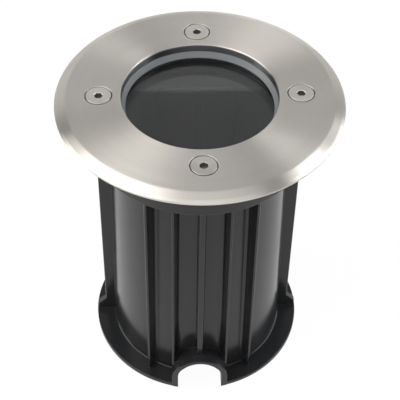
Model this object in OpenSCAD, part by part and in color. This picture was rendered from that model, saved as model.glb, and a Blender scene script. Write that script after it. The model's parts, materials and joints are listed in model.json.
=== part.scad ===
// In-ground well light: a sealed lamp pot with a stainless trim ring hangs in a ribbed plastic ground sleeve.
// +Z is up, the sleeve stands on z = 0, the common axis is x = y = 0 and the front cable arch faces -Y.

/* [Trim ring] */
// Height of the trim's top above the ground plate's underside
overall_h = 128.6; // [124:0.2:150]
// Outside diameter of the trim ring
trim_d = 110; // [100:0.5:130]
// Thickness of the trim plate
trim_t = 3; // [2.8:0.1:5]
// Width of the bevel round the trim's top, seen from above
trim_bevel_w = 4.2; // [2:0.1:6]
// Height of the upright rim under the bevel
trim_rim_h = 0.7; // [0.4:0.1:1.4]
// Diameter of the round window
window_d = 59.4; // [54:0.2:62]
// Chamfer on the window's top edge
window_chamfer = 0.7; // [0.2:0.1:1.2]

/* [Cover screws] */
// Diameter of the cover screws' shanks
screw_d = 5; // [4:0.1:5.4]
// Length of a cover screw under its head
screw_l = 11.6; // [9:0.2:12]
// Diameter of a cover screw's head
screw_head_d = 9.6; // [8.4:0.1:10]
// Height of a cover screw's head
screw_head_h = 1.6; // [1.2:0.1:1.6]
// Width across the flats of the hexagon socket
socket_af = 3; // [2:0.5:4]
// Depth of the hexagon socket
socket_depth = 1.9; // [1.2:0.1:2.4]
// Thickness of the sealing washer under a head
washer_t = 0.5; // [0.3:0.1:0.6]
// Distance from the gasket's recess to the screw circle
screw_inset = 4; // [3.9:0.1:5]
// Outside diameter of a threaded insert
insert_d = 6.4; // [6:0.1:6.6]
// Length of a threaded insert
insert_l = 9.5; // [7:0.1:9.8]

/* [Glass and gasket] */
// Thickness of the glass
glass_t = 5; // [4:0.1:6]
// How far the glass reaches past the window's edge
glass_overlap = 2.7; // [2:0.1:3]
// Height of the gasket's lip over the glass
lip_over_h = 2.3; // [1.4:0.1:2.6]
// Height of the gasket's lip under the glass
lip_under_h = 1.5; // [0.8:0.1:1.8]
// How far that lip reaches in under the glass
lip_under_w = 1.2; // [0.8:0.1:2]
// How far the upper lip slopes in from the window's edge
lip_slope_w = 1.4; // [0.6:0.1:2]
// Gasket wall outside the glass
gasket_wall = 1.5; // [1:0.1:1.6]

/* [Lamp pot] */
// Outside diameter of the pot's tube
pot_d = 65.2; // [62:0.2:67]
// Wall of the pot's tube
pot_wall = 1.8; // [1.4:0.1:2.2]
// Depth of the pot from its flange's top to its underside
pot_depth = 88; // [86:0.5:92]
// Thickness of the pot's floor
pot_floor_t = 2.5; // [2:0.1:3]
// Height of the pot's flange
pot_flange_h = 12.8; // [12.6:0.1:14]
// Radial width of the flange outside the screw circle
flange_margin = 4.2; // [4:0.1:5]
// Wall on each side of the channel under the flange
channel_wall = 1.9; // [1.4:0.1:2.2]
// Deck over the channel under the flange
channel_deck_t = 3; // [2:0.1:4]
// Number of webs across the channel
web_count = 8; // [4:4:8]
// Thickness of a web across the channel
web_t = 1.6; // [1.2:0.1:2.4]
// Width of the key that stops the pot turning in its sleeve
key_w = 5; // [3:0.2:7]
// Drop of the key under the flange
key_h = 2; // [1:0.1:2.4]

/* [Ground sleeve] */
// Wall of the sleeve's tube
sleeve_wall = 1.8; // [1.4:0.1:2.4]
// How much the tube widens from its top to its foot, on each side
sleeve_draft = 2.2; // [0.5:0.1:3]
// Height of the collar that the pot's flange rests on
collar_h = 5.4; // [4:0.1:8]
// How far the foot plate reaches out from the tube
foot_w = 8.2; // [7:0.1:12]
// Thickness of the foot plate
foot_t = 2; // [1.5:0.1:3]
// Fillet between tube and foot plate
foot_fillet = 0.8; // [0.4:0.1:1.6]
// How far the ribs stand out from the tube's foot
rib_depth = 4.2; // [3:0.1:5]
// How much less far from the axis the ribs' tops reach
rib_taper = 0.6; // [0.2:0.1:1.2]
// Thickness of a rib's outer face
rib_t = 1.3; // [1:0.1:2.4]
// Thickness of a middle rib's outer face
mid_rib_t = 2.4; // [1.6:0.1:3.2]
// Thickness of a side fin's outer face
fin_t = 2.8; // [1.8:0.1:3.4]
// Draft on each side of a rib
rib_draft = 0.35; // [0.1:0.05:0.6]
// Angle between neighbouring ribs
rib_pitch = 16; // [13:0.5:18]
// Height of the flared foot of a side fin
flare_h = 4.2; // [2:0.1:6]
// Height of the upright edge under the flare
flare_edge_h = 2.6; // [1:0.1:4]

/* [Cable arch] */
// Width of the cable arch
arch_w = 18.6; // [14:0.2:20]
// Height of the centre of the arch's round top
arch_centre_h = 7.7; // [5:0.1:9]
// Wall of the hood on each side of the arch
hood_wall = 2.6; // [1.8:0.1:3]
// Wall of the hood over the arch's top
hood_top_wall = 1.4; // [1.2:0.1:2.6]
// How far the top of the hood lies behind the foot plate's rim
hood_setback = 0.8; // [0.4:0.1:2]

/* [Bracket and lampholder] */
// Distance from the pot's wall to the front of the bracket's upright plate
bracket_inset = 5.1; // [4.3:0.1:6.3]
// Thickness of the bracket
bracket_t = 1.5; // [1.2:0.1:2]
// Distance from the glass down to the bracket's top
bracket_top_gap = 11.6; // [9.4:0.2:41]
// Width of the rib down the middle of the plate
bracket_rib_w = 2.4; // [1.6:0.1:4]
// Projection of that rib
bracket_rib_h = 0.7; // [0.4:0.1:1]
// How far the foot reaches forward of the axis
bracket_reach = 12.5; // [9:0.5:13]
// Height of the posts under the bracket's foot
post_h = 6.8; // [6.4:0.1:9]
// Diameter of a post
post_d = 6.8; // [5.6:0.1:8]
// Distance from the pot's wall to the middle of a post, across the pot
post_inset = 7.8; // [6.8:0.1:8.8]
// Distance of the posts behind the axis
post_back = 6; // [4:0.5:9]
// Diameter of the lampholder as a share of the pot's bore
holder_share = 0.422; // [0.41:0.002:0.436]
// Height of the lampholder
holder_h = 20; // [18:0.5:22]
// Distance between the lamp's pins
pin_pitch = 10; // [10:0.5:10.5]
// Diameter of a pin's entry hole
pin_hole_d = 5.8; // [5.4:0.1:6]
// Width of the slot that a pin turns into
pin_slot_w = 2.8; // [2.4:0.1:3.2]
// Angle that a pin turns through
pin_turn = 28; // [15:1:35]
// Distance between the holes in the lampholder's ears
ear_pitch = 29; // [28:0.5:30]
// Width of an ear
ear_w = 7.6; // [6.6:0.1:8.4]
// Height of an ear
ear_h = 5; // [3:0.2:7]

/* [Wiring] */
// Height of the terminal block
block_h = 13; // [12:0.5:14]
// Gap between the lampholder and the terminal block
block_gap = 3; // [2.6:0.1:4]
// Width of one way of the terminal block
way_w = 9; // [8.4:0.2:10]
// Height of the block over the bracket's foot
block_lift = 3; // [2:0.5:6]
// Outside diameter of a clamp tube
clamp_d = 4.6; // [4:0.1:5]
// Bore of a clamp tube
clamp_bore_d = 3; // [2.4:0.1:3.2]
// Diameter of a clamp screw
clamp_screw_d = 2.4; // [2:0.1:2.6]
// Diameter of a lead
lead_d = 1.8; // [1.4:0.1:2]
// Bend radius of a lead, to its middle
lead_bend_r = 3; // [2:0.1:3.4]

/* [Cable gland] */
// Diameter of the gland's thread
gland_d = 16; // [15:0.5:17]
// Width across the flats of the gland's body, nut and locknut
gland_af = 21; // [20:0.5:22]
// Height of the body's hexagon
gland_hex_h = 5; // [4:0.5:6]
// Length of the spigot under the hexagon
gland_spigot_l = 9; // [8:0.5:10]
// Height of the locknut inside the pot
locknut_h = 4.4; // [3.5:0.1:5]
// Thickness of the gland's flat seal
gland_washer_t = 1.2; // [0.8:0.1:1.6]
// Gap between the pot's wall and a circle that touches the locknut's flats
gland_inset = 2.3; // [2.1:0.1:3.6]
// Bore of the sealing insert, for the cable
cable_bore_d = 7.2; // [5:0.1:8]
// Length of the dome nut
gland_nut_l = 15; // [14:0.5:17]

/* [Hidden] */
$fn = 96;

// Overrun of a cut past the face that it opens, and overlap of two shapes that join
over = 0.5;
// Gap under a piece that rests on another
seat_gap = 0.2;
// Gap between round pieces that move apart, and between a screw and its thread or hole
move_gap = 0.3;
thread_gap = 0.1;
// Gap between fixed pieces that fit in each other
fit_gap = 0.05;

// Angles of the four cover screws, counted from the front, seen from above
front_turn = 0;
right_turn = 90;
back_turn = 180;
left_turn = 270;
screw_turns = [front_turn, right_turn, back_turn, left_turn];

// Radii from the window outwards
window_r = window_d / 2;
lip_r = window_r - lip_slope_w;
glass_r = window_r + glass_overlap;
lip_under_r = glass_r - lip_under_w;
gasket_r = glass_r + fit_gap + gasket_wall;
recess_r = gasket_r + move_gap;
screw_ring_r = recess_r + screw_inset;
flange_r = screw_ring_r + flange_margin;
trim_r = trim_d / 2;
bevel_r = trim_r - trim_bevel_w;
pot_r = pot_d / 2;
cavity_r = pot_r - pot_wall;
mouth_r = min(window_r, cavity_r);
pot_gap = 0.4;
sleeve_in_r = pot_r + pot_gap;
sleeve_top_r = sleeve_in_r + sleeve_wall;
sleeve_r = sleeve_top_r + sleeve_draft;
foot_r = sleeve_r + foot_w;
rib_r = sleeve_r + rib_depth;
rib_top_r = rib_r - rib_taper;
channel_in_r = recess_r + channel_wall;
channel_out_r = flange_r - channel_wall;

// Heights from the trim downwards
trim_under_z = overall_h - trim_t;
pot_top_z = trim_under_z - seat_gap;
glass_top_z = pot_top_z - lip_over_h;
glass_under_z = glass_top_z - glass_t;
gasket_under_z = glass_under_z - lip_under_h;
ledge_z = gasket_under_z - seat_gap;
flange_under_z = pot_top_z - pot_flange_h;
collar_top_z = flange_under_z - seat_gap;
collar_under_z = collar_top_z - collar_h;
pot_under_z = pot_top_z - pot_depth;
floor_z = pot_under_z + pot_floor_t;
bracket_z = floor_z + post_h;
holder_z = bracket_z + bracket_t;

// Bevel on the glass's edges
glass_arris = 0.4;

// Cover screws, their washers and the holes for them
screw_r = screw_d / 2;
head_r = screw_head_d / 2;
head_under_z = overall_h - screw_head_h;
head_chamfer = 0.25;
washer_r = head_r + move_gap / 2;
counterbore_r = washer_r + move_gap;
counterbore_z = head_under_z - washer_t;
screw_tip_z = head_under_z - screw_l;
screw_tip_chamfer = 0.6;
insert_r = insert_d / 2;
insert_top_sink = 0.2;
insert_top_z = pot_top_z - insert_top_sink;
insert_groove_w = 1.2;
insert_groove_depth = 0.4;
insert_hole_slack = 1;
boss_wall = 1.3;
boss_r = insert_r + boss_wall;
hole_bottom_z = min(screw_tip_z, insert_top_z - insert_l) - insert_hole_slack;

// Key and its pocket
key_turn = 135;
key_in_r = channel_in_r + key_h;
key_out_r = channel_out_r;

// Cable arch
arch_r = arch_w / 2;
hood_r = arch_r + hood_wall;
hood_top_z = arch_centre_h + arch_r + hood_top_wall;
hood_centre_h = hood_top_z - hood_r;
hood_front_r = foot_r - hood_setback;
arch_turns = [front_turn, back_turn];
fin_turns = [right_turn, left_turn];
rib_places = [-2, -1, 0, 1, 2];

// Bracket, its screws and the lampholder
bracket_gap = 0.4;
plate_r = cavity_r - bracket_gap;
plate_h = glass_under_z - bracket_top_gap - holder_z;
bracket_offset = cavity_r - bracket_inset;
bracket_back = bracket_offset + bracket_t;
post_pitch = 2 * (cavity_r - post_inset);
holder_d = 2 * cavity_r * holder_share;
bracket_screw_d = 2.9;
bracket_screw_l = 6;
screw_end_gap = 0.5;
pan_head_share = 1.9;
pan_height_share = 0.7;
lead_hole_gap = 0.4;
lead_hole_r = lead_d / 2 + lead_hole_gap;
pin_x = pin_pitch / 2;
pin_depth = 8;
contact_room_w = 5;
contact_room_l = 8;
contact_t = 0.8;
contact_w = 6;
contact_h = 9;
ear_screw_d = 3;
ear_screw_proud = 0.9;
ear_screw_l = ear_h + bracket_t + ear_screw_proud;
ear_hole_d = ear_screw_d + 2 * thread_gap;
ear_notch_d = ear_screw_d * pan_head_share + 2 * move_gap;

// Terminal block, its clamps and the leads
block_z = holder_z + block_lift;
block_end = 1.5;
block_front = holder_d / 2 + block_gap;
block_back = bracket_offset - bracket_rib_h;
block_depth = block_back - block_front;
clamp_y = (block_front + block_back) / 2;
clamp_inset = 1.2;
clamp_z = block_z + clamp_inset;
clamp_l = block_h - 2 * clamp_inset;
clamp_screw_inset_share = 0.24;
clamp_screw_heights = [clamp_l * clamp_screw_inset_share, clamp_l * (1 - clamp_screw_inset_share)];
clamp_screw_sink = 0.6;
slot_w = 0.6;
slot_depth = 0.6;
lead_x = pin_x;
lead_drop = 2.2;
lead_low_z = bracket_z - lead_drop;
lead_into_clamp = 1.4;
lead_into_holder = 2.5;

// Cable gland
gland_y = gland_af / 2 + gland_inset - cavity_r;
gland_r = gland_d / 2;
gland_bore_r = 5;
gland_wall = 1.5;
gland_seat_r = gland_r - gland_wall;
gland_hex_top_z = pot_under_z - gland_washer_t;
gland_hex_z = gland_hex_top_z - gland_hex_h;
gland_end_z = gland_hex_z - gland_spigot_l;
thread_stub = 0.8;
gland_seal_r = gland_r + 2 * gland_wall;
insert_seal_r = gland_seat_r - move_gap;
insert_top_gap = 0.4;
insert_hang = 1;
nut_gap = 0.4;
nut_in_r = gland_r + move_gap;
nut_top_z = gland_hex_z - nut_gap;
nut_end_z = nut_top_z - gland_nut_l;
nut_mouth_r = cable_bore_d / 2 + gland_wall / 2;
nut_hex_h = 6;
nut_dome_r = 9.7;
nut_end_r = 7.6;
nut_wall = 1.6;

module tube(outer, inner, height, z) {
    translate([0, 0, z]) difference() {
        cylinder(r = outer, h = height);
        translate([0, 0, -over]) cylinder(r = inner, h = height + 2 * over);
    }
}

module turned(turn) {
    rotate([0, 0, turn]) children();
}

module at_screw(turn) {
    turned(turn) translate([0, -screw_ring_r, 0]) children();
}

module hexagon(af, height, z) {
    translate([0, 0, z]) rotate([0, 0, 180 / 6]) cylinder(r = af / 2 / cos(180 / 6), h = height, $fn = 6);
}

// A screw that points down from z = 0, with a slotted pan head on top
module pan_screw(d, l) {
    head_h = d * pan_height_share;
    difference() {
        union() {
            translate([0, 0, -l]) cylinder(d = d, h = l + over);
            cylinder(d = d * pan_head_share, h = head_h);
        }
        translate([-d * pan_head_share, -slot_w / 2, head_h - slot_depth])
            cube([2 * d * pan_head_share, slot_w, slot_depth + over]);
    }
}

// An arch round a centre at the height centre_h, on straight legs that start at -drop
module arch_outline(r, centre_h, drop) {
    intersection() {
        union() {
            translate([0, centre_h]) circle(r = r);
            translate([-r, -drop]) square([2 * r, centre_h + drop]);
        }
        translate([-r, -drop]) square([2 * r, centre_h + r + drop]);
    }
}

module tunnel(r, centre_h, from, to, drop) {
    translate([0, -from, 0]) rotate([90, 0, 0]) linear_extrude(to - from) arch_outline(r, centre_h, drop);
}

// Hood over the cable arch: its mouth leans back from the foot plate's rim
module hood() {
    intersection() {
        tunnel(hood_r, hood_centre_h, sleeve_in_r - sleeve_wall, foot_r + over, 0);
        translate([0, 0, -over]) cylinder(r = foot_r, h = hood_top_z + 2 * over);
        translate([-hood_r - over, 0, 0]) rotate([90, 0, 90]) linear_extrude(2 * (hood_r + over)) polygon([
            [0, -over],
            [-foot_r - over, -over],
            [-foot_r - over, foot_t],
            [-hood_front_r, hood_top_z + over],
            [0, hood_top_z + over]
        ]);
    }
}

module arch_cut() {
    tunnel(arch_r, arch_centre_h, sleeve_in_r - arch_r, foot_r + 2 * over, over);
}

// A rib from the foot plate to the collar, cut to length outwards by ribs()
module rib(tip_t) {
    root_r = sleeve_top_r - sleeve_wall / 2;
    linear_extrude(collar_under_z + over) polygon([
        [-tip_t / 2 - rib_draft, -root_r],
        [tip_t / 2 + rib_draft, -root_r],
        [tip_t / 2, -rib_r - over],
        [-tip_t / 2, -rib_r - over]
    ]);
}

module ribs() {
    intersection() {
        union() {
            for (turn = arch_turns, place = rib_places)
                turned(turn + place * rib_pitch) rib(place == 0 ? mid_rib_t : rib_t);
            for (turn = fin_turns) turned(turn) rib(fin_t);
        }
        translate([0, 0, -over]) cylinder(r1 = rib_r, r2 = rib_top_r, h = collar_under_z + 3 * over);
    }
}

// The flared foot of a side fin
module flare() {
    translate([-fin_t / 2, 0, 0]) rotate([90, 0, 90]) linear_extrude(fin_t) polygon([
        [-sleeve_top_r, 0],
        [-foot_r + rib_draft, 0],
        [-foot_r + rib_draft, foot_t + flare_edge_h],
        [-rib_top_r, foot_t + flare_edge_h + flare_h],
        [-sleeve_top_r, foot_t + flare_edge_h + flare_h]
    ]);
}

module key(width, inner, outer, height, z) {
    turned(key_turn) translate([-width / 2, -outer, z]) cube([width, outer - inner, height]);
}

module ground_sleeve() color([0.10, 0.10, 0.11]) {
    difference() {
        union() {
            cylinder(r1 = sleeve_r, r2 = sleeve_top_r, h = collar_top_z);
            translate([0, 0, collar_under_z]) cylinder(r = flange_r, h = collar_h);
            cylinder(r = foot_r, h = foot_t);
            translate([0, 0, foot_t]) cylinder(r1 = sleeve_r + foot_fillet, r2 = sleeve_r, h = foot_fillet);
            ribs();
            for (turn = fin_turns) turned(turn) flare();
            for (turn = arch_turns) turned(turn) hood();
        }
        translate([0, 0, -over])
            cylinder(r1 = sleeve_in_r + sleeve_draft, r2 = sleeve_in_r, h = collar_top_z + 2 * over);
        for (turn = arch_turns) turned(turn) arch_cut();
        key(key_w + 2 * move_gap, key_in_r - move_gap, key_out_r + move_gap, key_h + move_gap + over,
            collar_top_z - key_h - move_gap);
    }
}

module flange_channel() {
    channel_h = pot_flange_h - channel_deck_t;
    difference() {
        tube(channel_out_r, channel_in_r, channel_h + over, flange_under_z - over);
        for (turn = screw_turns)
            at_screw(turn) translate([0, 0, flange_under_z - 2 * over]) cylinder(r = boss_r, h = channel_h + 3 * over);
        for (web = [0.5 : web_count - 0.5])
            turned(web * 360 / web_count)
                translate([-web_t / 2, -flange_r, flange_under_z - 2 * over])
                    cube([web_t, flange_r, channel_h + 3 * over]);
        key(key_w + 2 * web_t, 0, flange_r, channel_h + 3 * over, flange_under_z - 2 * over);
    }
}

module post(side) {
    translate([side * post_pitch / 2, post_back, 0]) difference() {
        translate([0, 0, floor_z - over]) cylinder(d = post_d, h = post_h + over);
        translate([0, 0, bracket_z - bracket_screw_l])
            cylinder(d = bracket_screw_d + 2 * fit_gap, h = bracket_screw_l + over);
    }
}

module lamp_pot() color([0.12, 0.12, 0.13]) {
    difference() {
        translate([0, 0, pot_under_z]) cylinder(r = pot_r, h = flange_under_z - pot_under_z);
        translate([0, 0, floor_z]) cylinder(r = cavity_r, h = flange_under_z - floor_z + over);
        translate([0, gland_y, pot_under_z - over]) cylinder(r = gland_r + fit_gap, h = pot_floor_t + 2 * over);
    }
    post(-1);
    post(1);
}

// Flange ring welded on the pot's tube: the gasket's seat, the screws' bosses and the channel round the rim
module pot_flange() color([0.12, 0.12, 0.13]) {
    difference() {
        union() {
            translate([0, 0, flange_under_z]) cylinder(r = flange_r, h = pot_flange_h);
            key(key_w, key_in_r, key_out_r, key_h + over, flange_under_z - key_h);
        }
        translate([0, 0, ledge_z]) cylinder(r = recess_r, h = pot_top_z - ledge_z + over);
        translate([0, 0, flange_under_z - over]) cylinder(r = mouth_r, h = pot_flange_h);
        flange_channel();
        for (turn = screw_turns)
            at_screw(turn) translate([0, 0, hole_bottom_z])
                cylinder(r = insert_r + fit_gap, h = pot_top_z - hole_bottom_z + over);
    }
}

module screw_inserts() color([0.78, 0.62, 0.30]) {
    for (turn = screw_turns) at_screw(turn) difference() {
        translate([0, 0, insert_top_z - insert_l]) cylinder(r = insert_r, h = insert_l);
        translate([0, 0, insert_top_z - insert_l - over]) cylinder(r = screw_r + thread_gap, h = insert_l + 2 * over);
        tube(insert_r + over, insert_r - insert_groove_depth, insert_groove_w,
            insert_top_z - (insert_l + insert_groove_w) / 2);
    }
}

module trim_ring() color([0.74, 0.72, 0.69]) {
    difference() {
        rotate_extrude() polygon([
            [window_r, trim_under_z],
            [trim_r, trim_under_z],
            [trim_r, trim_under_z + trim_rim_h],
            [bevel_r, overall_h],
            [window_r + window_chamfer, overall_h],
            [window_r, overall_h - window_chamfer]
        ]);
        for (turn = screw_turns) at_screw(turn) {
            translate([0, 0, counterbore_z]) cylinder(r = counterbore_r, h = trim_t);
            translate([0, 0, trim_under_z - over]) cylinder(r = screw_r + move_gap, h = trim_t);
        }
    }
}

module cover_screw(turn) color([0.70, 0.69, 0.67]) {
    at_screw(turn) difference() {
        rotate_extrude() polygon([
            [0, screw_tip_z],
            [screw_r - screw_tip_chamfer, screw_tip_z],
            [screw_r, screw_tip_z + screw_tip_chamfer],
            [screw_r, head_under_z],
            [head_r, head_under_z],
            [head_r, overall_h - head_chamfer],
            [head_r - head_chamfer, overall_h],
            [0, overall_h]
        ]);
        hexagon(socket_af, socket_depth + over, overall_h - socket_depth);
    }
}

module head_washer(turn) color([0.05, 0.05, 0.05]) {
    at_screw(turn) tube(washer_r, screw_r + thread_gap, washer_t, counterbore_z);
}

module glass_lens() color([0.75, 0.82, 0.84, 0.35]) {
    rotate_extrude() polygon([
        [0, glass_under_z],
        [glass_r - glass_arris, glass_under_z],
        [glass_r, glass_under_z + glass_arris],
        [glass_r, glass_top_z - glass_arris],
        [glass_r - glass_arris, glass_top_z],
        [0, glass_top_z]
    ]);
}

module lens_gasket() color([0.45, 0.48, 0.51]) {
    groove_r = glass_r + fit_gap;
    rotate_extrude() polygon([
        [lip_under_r, gasket_under_z],
        [gasket_r, gasket_under_z],
        [gasket_r, pot_top_z],
        [window_r, pot_top_z],
        [lip_r, glass_top_z],
        [groove_r, glass_top_z],
        [groove_r, glass_under_z],
        [lip_under_r, glass_under_z]
    ]);
}

// The bracket's foot, which carries the lampholder
module lamp_bracket() color([0.09, 0.09, 0.10]) {
    difference() {
        intersection() {
            translate([-plate_r, -bracket_reach, bracket_z])
                cube([2 * plate_r, bracket_reach + bracket_back, bracket_t]);
            translate([0, 0, bracket_z - over]) cylinder(r = plate_r, h = bracket_t + 2 * over);
        }
        for (side = [-1, 1]) {
            translate([side * post_pitch / 2, post_back, bracket_z - over])
                cylinder(d = bracket_screw_d + 2 * thread_gap, h = bracket_t + 2 * over);
            translate([side * ear_pitch / 2, 0, bracket_z - over])
                cylinder(d = ear_screw_d + 2 * fit_gap, h = bracket_t + 2 * over);
            translate([side * lead_x, 0, bracket_z - over]) cylinder(r = lead_hole_r, h = bracket_t + 2 * over);
            translate([side * lead_x, clamp_y, bracket_z - over]) cylinder(r = lead_hole_r, h = bracket_t + 2 * over);
        }
    }
}

// The bracket's upright plate, welded on its foot, with a pressed rib down its middle
module bracket_plate() color([0.09, 0.09, 0.10]) {
    intersection() {
        union() {
            translate([-plate_r, bracket_offset, holder_z]) cube([2 * plate_r, bracket_t, plate_h]);
            translate([-bracket_rib_w / 2, bracket_offset - bracket_rib_h, holder_z])
                cube([bracket_rib_w, bracket_rib_h + bracket_t / 2, plate_h]);
        }
        translate([0, 0, holder_z - over]) cylinder(r = plate_r, h = plate_h + 2 * over);
    }
}

module bracket_screws() color([0.62, 0.62, 0.62]) {
    for (side = [-1, 1])
        translate([side * post_pitch / 2, post_back, holder_z])
            pan_screw(bracket_screw_d, bracket_screw_l - screw_end_gap + bracket_t);
}

module lampholder() color([0.86, 0.84, 0.78]) {
    translate([0, 0, holder_z]) difference() {
        union() {
            cylinder(d = holder_d, h = holder_h);
            for (side = [-1, 1]) translate([side * ear_pitch / 2, 0, 0]) cylinder(d = ear_w, h = ear_h);
            translate([-ear_pitch / 2, -ear_w / 2, 0]) cube([ear_pitch, ear_w, ear_h]);
        }
        for (side = [-1, 1]) {
            translate([side * ear_pitch / 2, 0, -over]) cylinder(d = ear_hole_d, h = ear_h + 2 * over);
            translate([side * ear_pitch / 2, 0, ear_h]) cylinder(d = ear_notch_d, h = holder_h);
            translate([side * pin_x, 0, holder_h - pin_depth - over])
                cylinder(d = pin_hole_d, h = pin_depth + 2 * over);
            translate([side * pin_x - contact_room_w / 2, -contact_room_l / 2, -over])
                cube([contact_room_w, contact_room_l, holder_h - pin_depth + over]);
            rotate([0, 0, side > 0 ? 0 : 180]) translate([0, 0, holder_h - pin_depth - over])
                rotate_extrude(angle = pin_turn) translate([pin_x - pin_slot_w / 2, 0])
                    square([pin_slot_w, pin_depth + 2 * over]);
        }
    }
}

module lampholder_contacts() color([0.80, 0.68, 0.40]) {
    leaf_x = pin_x + contact_room_w / 2 - contact_t - fit_gap;
    for (side = [-1, 1]) rotate([0, 0, side > 0 ? 0 : 180]) {
        translate([leaf_x, -contact_w / 2, holder_z + fit_gap]) cube([contact_t, contact_w, contact_h]);
        translate([pin_x - contact_room_w / 2 + fit_gap, -contact_w / 2, holder_z + lead_into_holder + fit_gap])
            cube([contact_room_w - 2 * fit_gap, contact_w, contact_t]);
    }
}

module lampholder_screws() color([0.62, 0.62, 0.62]) {
    for (side = [-1, 1])
        translate([side * ear_pitch / 2, 0, holder_z + ear_h]) pan_screw(ear_screw_d, ear_screw_l);
}

module clamp_screw_places() {
    for (side = [-1, 1], height = clamp_screw_heights)
        translate([side * lead_x, block_front, clamp_z + height]) rotate([-90, 0, 0]) children();
}

module terminal_block() color([0.88, 0.87, 0.82]) {
    block_half = lead_x + way_w / 2 + block_end / 2;
    difference() {
        translate([-block_half, block_front, block_z]) cube([2 * block_half, block_depth, block_h]);
        for (side = [-1, 1]) translate([side * lead_x, clamp_y, block_z - over])
            cylinder(d = clamp_d + 2 * fit_gap, h = block_h + 2 * over);
        clamp_screw_places() translate([0, 0, -over])
            cylinder(d = clamp_screw_d + 2 * thread_gap, h = block_depth / 2 + over);
    }
}

module terminal_clamps() color([0.80, 0.65, 0.32]) {
    difference() {
        for (side = [-1, 1]) translate([side * lead_x, clamp_y, 0])
            tube(clamp_d / 2, clamp_bore_d / 2, clamp_l, clamp_z);
        clamp_screw_places() cylinder(d = clamp_screw_d + 2 * fit_gap, h = block_depth / 2);
    }
}

module terminal_screws() color([0.75, 0.74, 0.70]) {
    reach = clamp_y - block_front - clamp_bore_d / 2 + clamp_screw_sink;
    clamp_screw_places() translate([0, 0, clamp_screw_sink]) difference() {
        cylinder(d = clamp_screw_d, h = reach - 2 * clamp_screw_sink);
        translate([-clamp_screw_d, -slot_w / 2, -over]) cube([2 * clamp_screw_d, slot_w, slot_depth + over]);
    }
}

// A quarter bend of a lead that turns from straight down to straight along +Y
module lead_bend() {
    translate([0, lead_bend_r, 0]) rotate([0, 90, 0]) rotate([0, 0, 180 + 90]) rotate_extrude(angle = 90)
        translate([lead_bend_r, 0]) circle(d = lead_d);
}

// A lead from the lampholder's contact, under the bracket's foot and up into its clamp
module lead(side) {
    start_z = holder_z + lead_into_holder;
    end_z = clamp_z + lead_into_clamp;
    bend_z = lead_low_z + lead_bend_r;
    translate([side * lead_x, 0, 0]) {
        translate([0, 0, bend_z]) cylinder(d = lead_d, h = start_z - bend_z);
        translate([0, 0, bend_z]) lead_bend();
        translate([0, lead_bend_r, lead_low_z]) rotate([-90, 0, 0])
            cylinder(d = lead_d, h = clamp_y - 2 * lead_bend_r);
        translate([0, clamp_y, bend_z]) mirror([0, 1, 0]) lead_bend();
        translate([0, clamp_y, bend_z]) cylinder(d = lead_d, h = end_z - bend_z);
    }
}

module lead_live() color([0.36, 0.20, 0.10]) lead(-1);

module lead_neutral() color([0.10, 0.25, 0.55]) lead(1);

module at_gland() {
    translate([0, gland_y, 0]) children();
}

module gland_body() color([0.08, 0.08, 0.09]) {
    thread_top_z = floor_z + seat_gap + locknut_h + thread_stub;
    at_gland() difference() {
        union() {
            hexagon(gland_af, gland_hex_h, gland_hex_z);
            translate([0, 0, gland_end_z]) cylinder(r = gland_r, h = thread_top_z - gland_end_z);
        }
        translate([0, 0, gland_end_z - over]) cylinder(r = gland_bore_r, h = thread_top_z - gland_end_z + 2 * over);
        translate([0, 0, gland_end_z - over]) cylinder(r = gland_seat_r, h = gland_spigot_l + over);
    }
}

module gland_washer() color([0.05, 0.05, 0.05]) {
    at_gland() tube(gland_seal_r - fit_gap, gland_r + fit_gap, gland_washer_t, gland_hex_top_z);
}

module gland_locknut() color([0.08, 0.08, 0.09]) {
    at_gland() difference() {
        hexagon(gland_af, locknut_h, floor_z);
        translate([0, 0, floor_z - over]) cylinder(r = gland_r + fit_gap, h = locknut_h + 2 * over);
    }
}

module gland_insert() color([0.06, 0.06, 0.06]) {
    top_z = gland_hex_z - insert_top_gap;
    at_gland() tube(insert_seal_r, cable_bore_d / 2, top_z - gland_end_z + insert_hang, gland_end_z - insert_hang);
}

module gland_nut() color([0.08, 0.08, 0.09]) {
    at_gland() difference() {
        union() {
            hexagon(gland_af, nut_hex_h, nut_top_z - nut_hex_h);
            rotate_extrude() polygon([
                [0, nut_end_z],
                [nut_end_r, nut_end_z],
                [nut_dome_r, nut_end_z + nut_dome_r - nut_end_r + nut_wall],
                [nut_dome_r, nut_top_z],
                [0, nut_top_z]
            ]);
        }
        translate([0, 0, gland_end_z - insert_hang - move_gap])
            cylinder(r = nut_in_r, h = nut_top_z - gland_end_z + insert_hang + move_gap + over);
        translate([0, 0, nut_end_z - over]) cylinder(r = nut_mouth_r, h = gland_nut_l);
    }
}

ground_sleeve();
lamp_pot();
pot_flange();
screw_inserts();
trim_ring();
cover_screw(front_turn);  // screw_front
cover_screw(right_turn);  // screw_right
cover_screw(back_turn);  // screw_back
cover_screw(left_turn);  // screw_left
head_washer(front_turn);  // washer_front
head_washer(right_turn);  // washer_right
head_washer(back_turn);  // washer_back
head_washer(left_turn);  // washer_left
glass_lens();
lens_gasket();
lamp_bracket();
bracket_plate();
bracket_screws();
lampholder();
lampholder_contacts();
lampholder_screws();
terminal_block();
terminal_clamps();
terminal_screws();
lead_live();
lead_neutral();
gland_body();
gland_washer();
gland_locknut();
gland_insert();
gland_nut();
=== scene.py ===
"""Looks of the in-ground well light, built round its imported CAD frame.

Sizes in the classes are in millimetres, in the part's own frame: +Z is up, the sleeve stands on z = 0 and the
front cable arch faces -Y. Meshes, finishes and the studio are in metres.
"""

import json
import logging
import math
from dataclasses import dataclass, field
from enum import Enum

import bmesh
import bpy
from mathutils import Matrix, Vector


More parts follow.
